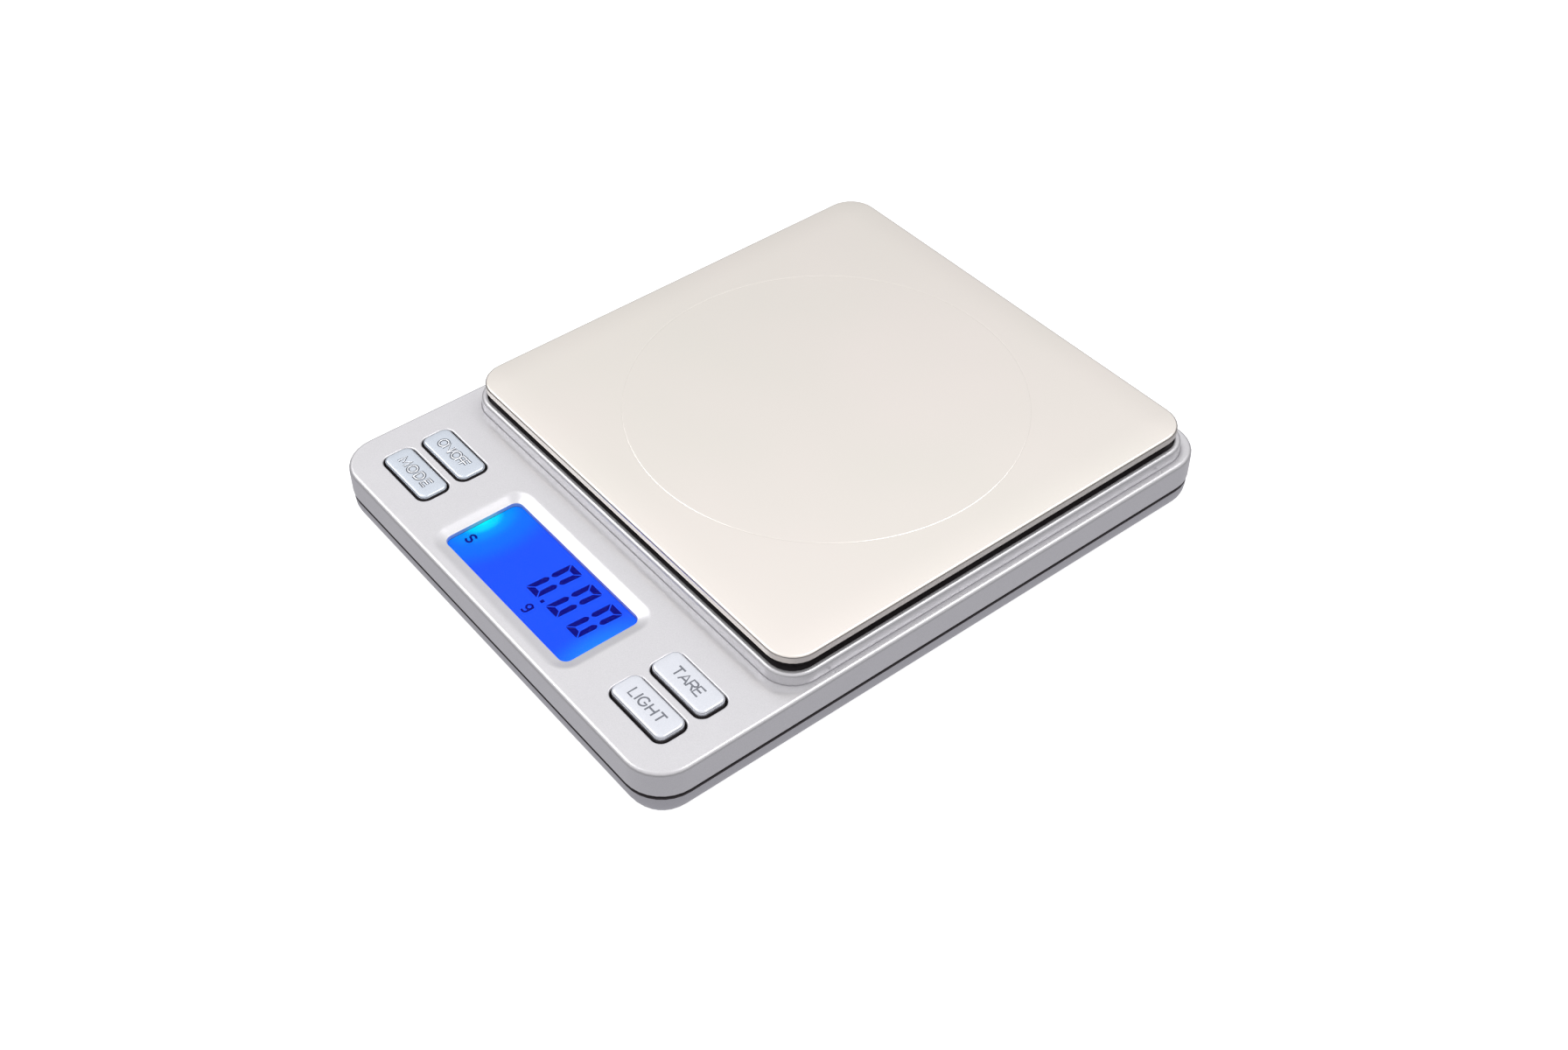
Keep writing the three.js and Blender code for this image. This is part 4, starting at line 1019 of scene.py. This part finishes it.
def batteries():
    """Two cells with printed jackets and bare metal ends."""
    for place, plus in (("front", 1), ("rear", -1)):
        x, y, length, _, low_z, high_z = extent(f"battery_{place}")
        middle_z = (low_z + high_z) / 2
        skin = Skin()

        def turned(profile):
            """Bands round the cell's axis, through a profile of (distance along it, radius)."""
            return skin.stack([
                (x + plus * along, y + radius * math.cos(t), middle_z + radius * math.sin(t))
                for t in full_turn(CIRCLE_STEPS)
            ] for along, radius in profile)

        half = length / 2
        band_edge = (half - BAND_L, JACKET_R)
        turned([
            (0.1 - half, JACKET_RIM_R), (-half, 4.75), (0.05 - half, 5.0), (0.35 - half, JACKET_R),
            band_edge,
        ])
        skin.tint = 1
        turned([
            band_edge, (half - 1.2, JACKET_R), (half - 0.9, 5.05), (half - 0.85, 4.8),
            (half - 0.95, JACKET_RIM_R),
        ])
        skin.tint = 2
        minus_rim, _ = turned([
            (0.05 - half, 0.2), (0.05 - half, 3.9), (0.12 - half, 4.2), (0.1 - half, JACKET_RIM_R),
        ])
        skin.fill(minus_rim)
        _, tip = turned([
            (half - 0.95, JACKET_RIM_R), (half - 0.95, 2.2), (half - 0.8, 1.9), (half - 0.15, 1.85),
            (half, 1.7), (half, 0.2),
        ])
        skin.fill(tip)
        piece = make_object(f"cell_{place}", skin, (JACKET, JACKET_BAND, NICKEL), "case")
        stand_for(piece, "battery_jacket", f"battery_{place}")


def door_grip():
    """Finger ridges on the latch end of the battery door."""
    x, y, _, depth, low_z, _ = extent("battery_door")
    front_y = y - depth / 2
    rows = [front_y + 1.3 + 1.1 * k for k in range(4)]
    grip = raised_strokes(
        "door_grip", [[(x - 4, row), (x + 4, row)] for row in rows], low_z + 0.05, LOWER_SILVER,
        "battery_door", radius=0.34, squash=0.8,
    )


# ---------------------------------------------------------------- display

def display():
    """The lens, the lit panel under it and the reading on the panel."""
    lens = Skin()
    flange = (0, DISPLAY_Y, LENS_FLANGE_W, LENS_FLANGE_D, 2.5)
    base, shoulder = lens.loft(flange, [(0, LENS_LOW_Z), (0, CEILING_Z - 0.02)])
    neck, top = lens.loft(WINDOW_PLACE, [
        (-WINDOW_FIT, CEILING_Z - 0.02), (-WINDOW_FIT, RECESS_Z - 0.08), (-0.1, RECESS_Z),
    ])
    lens.fill(base)
    lens.fill(shoulder, neck)
    lens.fill(top)
    piece = make_object("lens", lens, CLEAR, "case", weighted=False)
    stand_for(piece, "lens_clear", "display_lens")
    x, y, width, depth, low_z, high_z = extent("lcd_glass")
    joint_z = (low_z + high_z) / 2
    panel = Skin()
    panel.solid((x, y, width, depth, 0.3), [
        (-0.1, low_z), (0, low_z + 0.1), (0, joint_z - 0.03), (-0.05, joint_z),
        (0, joint_z + 0.03), (0, high_z - 0.1), (-0.1, high_z - 0.04),
    ])
    piece = make_object("lcd_panel", panel, LIT_PANEL, "case")
    stand_for(piece, "lcd_blue", "lcd_glass")
    digits = reading(high_z - 0.035, high_z - 0.005)
    piece = make_object("lcd_reading", digits, SEGMENT, "case", weighted=False)
    stand_for(piece, "lcd_blue")


DIGIT_W = 3.72
DIGIT_H = 9.85
DIGIT_PITCH = 6.45
DIGIT_LEFT_X = -1.0
DIGIT_BASE_Y = -56.62
DIGIT_SLANT = 0.055
SEGMENT_T = 1.24
SEGMENT_GAP = 0.19
MIDDLE_GAP = 0.3
# The two small letters: x, y, width and height of one unit, and stroke
SMALL_G = (3.1, -60.5, 1.25, 1.1, 0.4)
SMALL_S = (-18.7, -58.7, 1.3, 1.0, 0.46)


def plate(skin, points, low_z, high_z):
    """A thin flat piece with the given outline."""
    skin.capped_stack([[(x, y, z) for x, y in points] for z in (low_z, high_z)])


def stroke(skin, points, width, low_z, high_z):
    """A flat ribbon along a line of points."""
    left = []
    right = []
    for k, point in enumerate(points):
        before = Vector(points[max(k - 1, 0)])
        after = Vector(points[min(k + 1, len(points) - 1)])
        along = (after - before).normalized()
        side = Vector((-along.y, along.x)) * width / 2
        left.append(tuple(Vector(point) + side))
        right.append(tuple(Vector(point) - side))
    plate(skin, left + right[::-1], low_z, high_z)


def reading(low_z, high_z):
    """Seven-segment 0.00 with a small g and S."""
    skin = Skin()
    t, gap = SEGMENT_T, SEGMENT_GAP
    w, h = DIGIT_W, DIGIT_H
    half = h / 2
    top = [(gap, h), (w - gap, h), (w - t, h - t), (t, h - t)]
    middle = half + MIDDLE_GAP
    upper_left = [
        (0, h - gap), (t * 0.9, h - t - gap), (t, middle + t * 0.5), (t * 0.62, middle),
        (t * 0.34, middle), (0, middle + t * 0.4),
    ]
    upper_right = [(w - x, y) for x, y in upper_left]
    shapes = [top, upper_left, upper_right]
    shapes += [[(x, h - y) for x, y in shape] for shape in shapes]
    for digit in range(3):
        base_x = DIGIT_LEFT_X + digit * DIGIT_PITCH
        for shape in shapes:
            outline_points = [(base_x + x + DIGIT_SLANT * y, DIGIT_BASE_Y + y) for x, y in shape]
            plate(skin, outline_points, low_z, high_z)
    dot_x = DIGIT_LEFT_X + w + 0.95
    dot = [(0, 0), (0.72, 0), (0.76, 0.75), (0.04, 0.75)]
    plate(skin, [(dot_x + x, DIGIT_BASE_Y - 0.1 + y) for x, y in dot], low_z, high_z)
    bowl = ellipse_arc(0.5, 1.42, 0.48, 0.55, 0, 360, 16)
    tail = [(1.0, 1.95), (1.0, 0.45), (0.85, 0.12), (0.5, 0.0), (0.1, 0.12)]
    bends = ellipse_arc(0.5, 1.52, 0.5, 0.5, 20, 262, 12) + ellipse_arc(0.5, 0.5, 0.52, 0.52, 82, -160, 12)
    for line, (left, base, across, up, width) in ((bowl, SMALL_G), (tail, SMALL_G), (bends, SMALL_S)):
        stroke(skin, [(left + across * x, base + up * y) for x, y in line], width, low_z, high_z)
    return skin


def ellipse_arc(x, y, rx, ry, start, end, steps):
    """Points on an ellipse round x, y, between two angles in degrees."""
    angles = [math.radians(start + (end - start) * k / steps) for k in range(steps + 1)]
    return [(x + rx * math.cos(a), y + ry * math.sin(a)) for a in angles]


# ---------------------------------------------------------------- keys


# Plain block letters, one unit wide and high, each as its strokes.
LETTER_STROKES = {
    "M": [[(0, 0), (0, 1), (0.5, 0.3), (1, 1), (1, 0)]],
    "O": [ellipse_arc(0.5, 0.5, 0.5, 0.5, 90, 450, 20)],
    "D": [
        [(0, 0), (0, 1), (0.45, 1), *ellipse_arc(0.45, 0.5, 0.55, 0.5, 80, -80, 8), (0.45, 0), (0, 0)],
    ],
    "E": [[(1, 1), (0, 1), (0, 0), (1, 0)], [(0, 0.52), (0.88, 0.52)]],
    "N": [[(0, 0), (0, 1), (1, 0), (1, 1)]],
    "/": [[(0, -0.04), (1, 1.04)]],
    "F": [[(1, 1), (0, 1), (0, 0)], [(0, 0.52), (0.88, 0.52)]],
    "L": [[(0, 1), (0, 0), (1, 0)]],
    "I": [[(0.5, 0), (0.5, 1)]],
    "G": [[*ellipse_arc(0.5, 0.5, 0.5, 0.5, 45, 330, 14), (1, 0.47), (0.55, 0.47)]],
    "H": [[(0, 0), (0, 1)], [(1, 0), (1, 1)], [(0, 0.5), (1, 0.5)]],
    "T": [[(0, 1), (1, 1)], [(0.5, 1), (0.5, 0)]],
    "A": [[(0, 0), (0.5, 1), (1, 0)], [(0.17, 0.33), (0.83, 0.33)]],
    "R": [
        [
            (0, 0), (0, 1), (0.6, 1), *ellipse_arc(0.6, 0.74, 0.4, 0.26, 80, -80, 6),
            (0.6, 0.48), (0, 0.48),
        ],
        [(0.5, 0.48), (1, 0)],
    ],
}
# Each letter's width, where its height is 1
LETTER_WIDTHS = {
    "M": 1.0, "O": 0.98, "D": 0.86, "E": 0.74, "N": 0.86, "/": 0.42, "F": 0.66, "L": 0.64, "I": 0.0,
    "G": 0.94, "H": 0.84, "T": 0.86, "A": 0.96, "R": 0.78,
}
# Each key's word and its length
LABELS = {
    "mode": ("MODE", 9.6), "on_off": ("ON/OFF", 9.3), "light": ("LIGHT", 8.9), "tare": ("TARE", 7.6),
}
LETTER_H = 2.0
LETTER_SINK = 0.01


def label_lines(text, length, x, y):
    """The strokes of a word centred at x, y, spread to the given length."""
    widths = [LETTER_WIDTHS[letter] * LETTER_H for letter in text]
    gap = (length - sum(widths)) / (len(text) - 1)
    lines = []
    left = x - length / 2
    for letter, width in zip(text, widths):
        for line in LETTER_STROKES[letter]:
            lines.append([(left + u * width, y + (v - 0.5) * LETTER_H) for u, v in line])
        left += width + gap
    return lines


def raised_strokes(name, lines, z, material, body, radius, squash):
    """Rounded strokes centred at height z, with their height squashed."""
    data = bpy.data.curves.new(name, "CURVE")
    data.dimensions = "3D"
    data.bevel_depth = radius * MM
    data.bevel_resolution = 2
    data.use_fill_caps = True
    for line in lines:
        spline = data.splines.new("POLY")
        spline.points.add(len(line) - 1)
        for point, (x, y) in zip(spline.points, line):
            point.co = (x * MM, y * MM, z * MM, 1)
    shape = add_object(name, data)
    bpy.context.view_layer.update()
    mesh = bpy.data.meshes.new_from_object(shape)
    bpy.data.objects.remove(shape)
    for vertex in mesh.vertices:
        vertex.co.z = z * MM + (vertex.co.z - z * MM) * squash
    mesh.name = name
    mesh.materials.clear()
    mesh.materials.append(material)
    mesh.shade_smooth()
    piece = add_object(name, mesh)
    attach(piece, body)
    return piece


def key_caps():
    """Silver caps, black from the panel down as painted shade in the gap round each key; the right pair is
    paler, with plainer lettering.
    """
    for key in KEY_NAMES:
        x, y, width, depth, low_z, top_z = extent(f"{key}_key")
        shoulder_z = low_z + 0.5
        place = key_place(key)
        skin = Skin()
        _, top = skin.loft(place, [
            (0, PANEL_Z + 0.05), *arc(-KEY_EDGE_R, top_z - 0.54, KEY_EDGE_R, 0, 78, 8),
            (-0.65, top_z - 0.035), (-1.1, top_z - 0.01), (-1.6, top_z),
        ])
        skin.fill(top)
        # Black from the panel down: painted shade in the gap round the key; lower down it is the hidden
        # flange.
        skin.tint = 1
        flange_base, flange_top = skin.loft(place, [
            (KEY_FLANGE - 0.1, low_z), (KEY_FLANGE, low_z + 0.1), (KEY_FLANGE, shoulder_z),
        ])
        neck, _ = skin.loft(place, [(0, shoulder_z), (0, PANEL_Z + 0.05)])
        skin.fill(flange_base)
        skin.fill(flange_top, neck)
        right_side = x > 0
        paint = KEY_PALE if right_side else KEY_SILVER
        body = f"{key}_button"
        piece = make_object(f"{key}_cap", skin, (paint, BARE_BLACK_AND_PAINTED_SHADE), body)
        stand_for(piece, "silver_key", f"{key}_key")
        text, length = LABELS[key]
        strokes = (label_lines(text, length, x, y), top_z - LETTER_SINK)
        if right_side:
            # Grey letters, as painted shade.
            made = [raised_strokes(f"{key}_letters", *strokes, LETTER_GREY_PAINTED_SHADE, body, radius=0.2, squash=0.25)]
        else:
            # Letters as a dark flat outline, painted shade, under a pale core, painted highlight.
            made = [
                raised_strokes(f"{key}_letter_outlines_painted_shade", *strokes, LETTER_OUTLINE_PAINTED_SHADE, body, radius=0.38, squash=0.1),
                raised_strokes(f"{key}_letters", *strokes, LETTER, body, radius=0.17, squash=0.7),
            ]


# ---------------------------------------------------------------- carried-over frame parts

def finish_node(node, material, bevel_mm=0.0):
    """Give a carried-over CAD node its material and, if asked, soft edges."""
    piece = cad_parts[node]
    if not piece.material_slots:
        piece.data.materials.append(material)
    for slot in piece.material_slots:
        slot.link = "OBJECT"
        slot.material = material
    if bevel_mm:
        edges = piece.modifiers.new("soft_edges", "BEVEL")
        edges.width = bevel_mm * MM
        edges.segments = 2
        edges.limit_method = "ANGLE"
        edges.angle_limit = math.radians(50)


def finish_nodes():
    finish_node("battery_door", LOWER_SILVER, 0.12)
    finish_node("platform_carrier", BLACK, 0.2)
    finish_node("backlight_guide", GUIDE, 0.1)
    finish_node("backlight_led", WHITE, 0.1)
    finish_node("lcd_holder", WHITE, 0.12)
    finish_node("zebra_connector", ZEBRA, 0.1)
    finish_node("main_circuit_board", BOARD, 0.05)
    finish_node("chip_cover", EPOXY)
    finish_node("positive_lead", WIRE_RED)
    finish_node("negative_lead", WIRE_BLACK)
    finish_node("load_cell_cable", WHITE)
    for corner in CORNERS:
        finish_node(f"adhesive_pad_{corner}", FOAM)
    for key in KEY_NAMES:
        finish_node(f"{key}_switch_body", SWITCH, 0.15)
        finish_node(f"{key}_switch_plunger", PLUNGER, 0.1)
    for contact in ("bridge_contact", "negative_contact", "positive_contact"):
        finish_node(contact, NICKEL)


place_camera()
light_studio()
lay_floor()
upper_case()
lower_case()
rubber_feet()
screws()
steel_platform()
bending_beam()
batteries()
door_grip()
display()
key_caps()
finish_nodes()
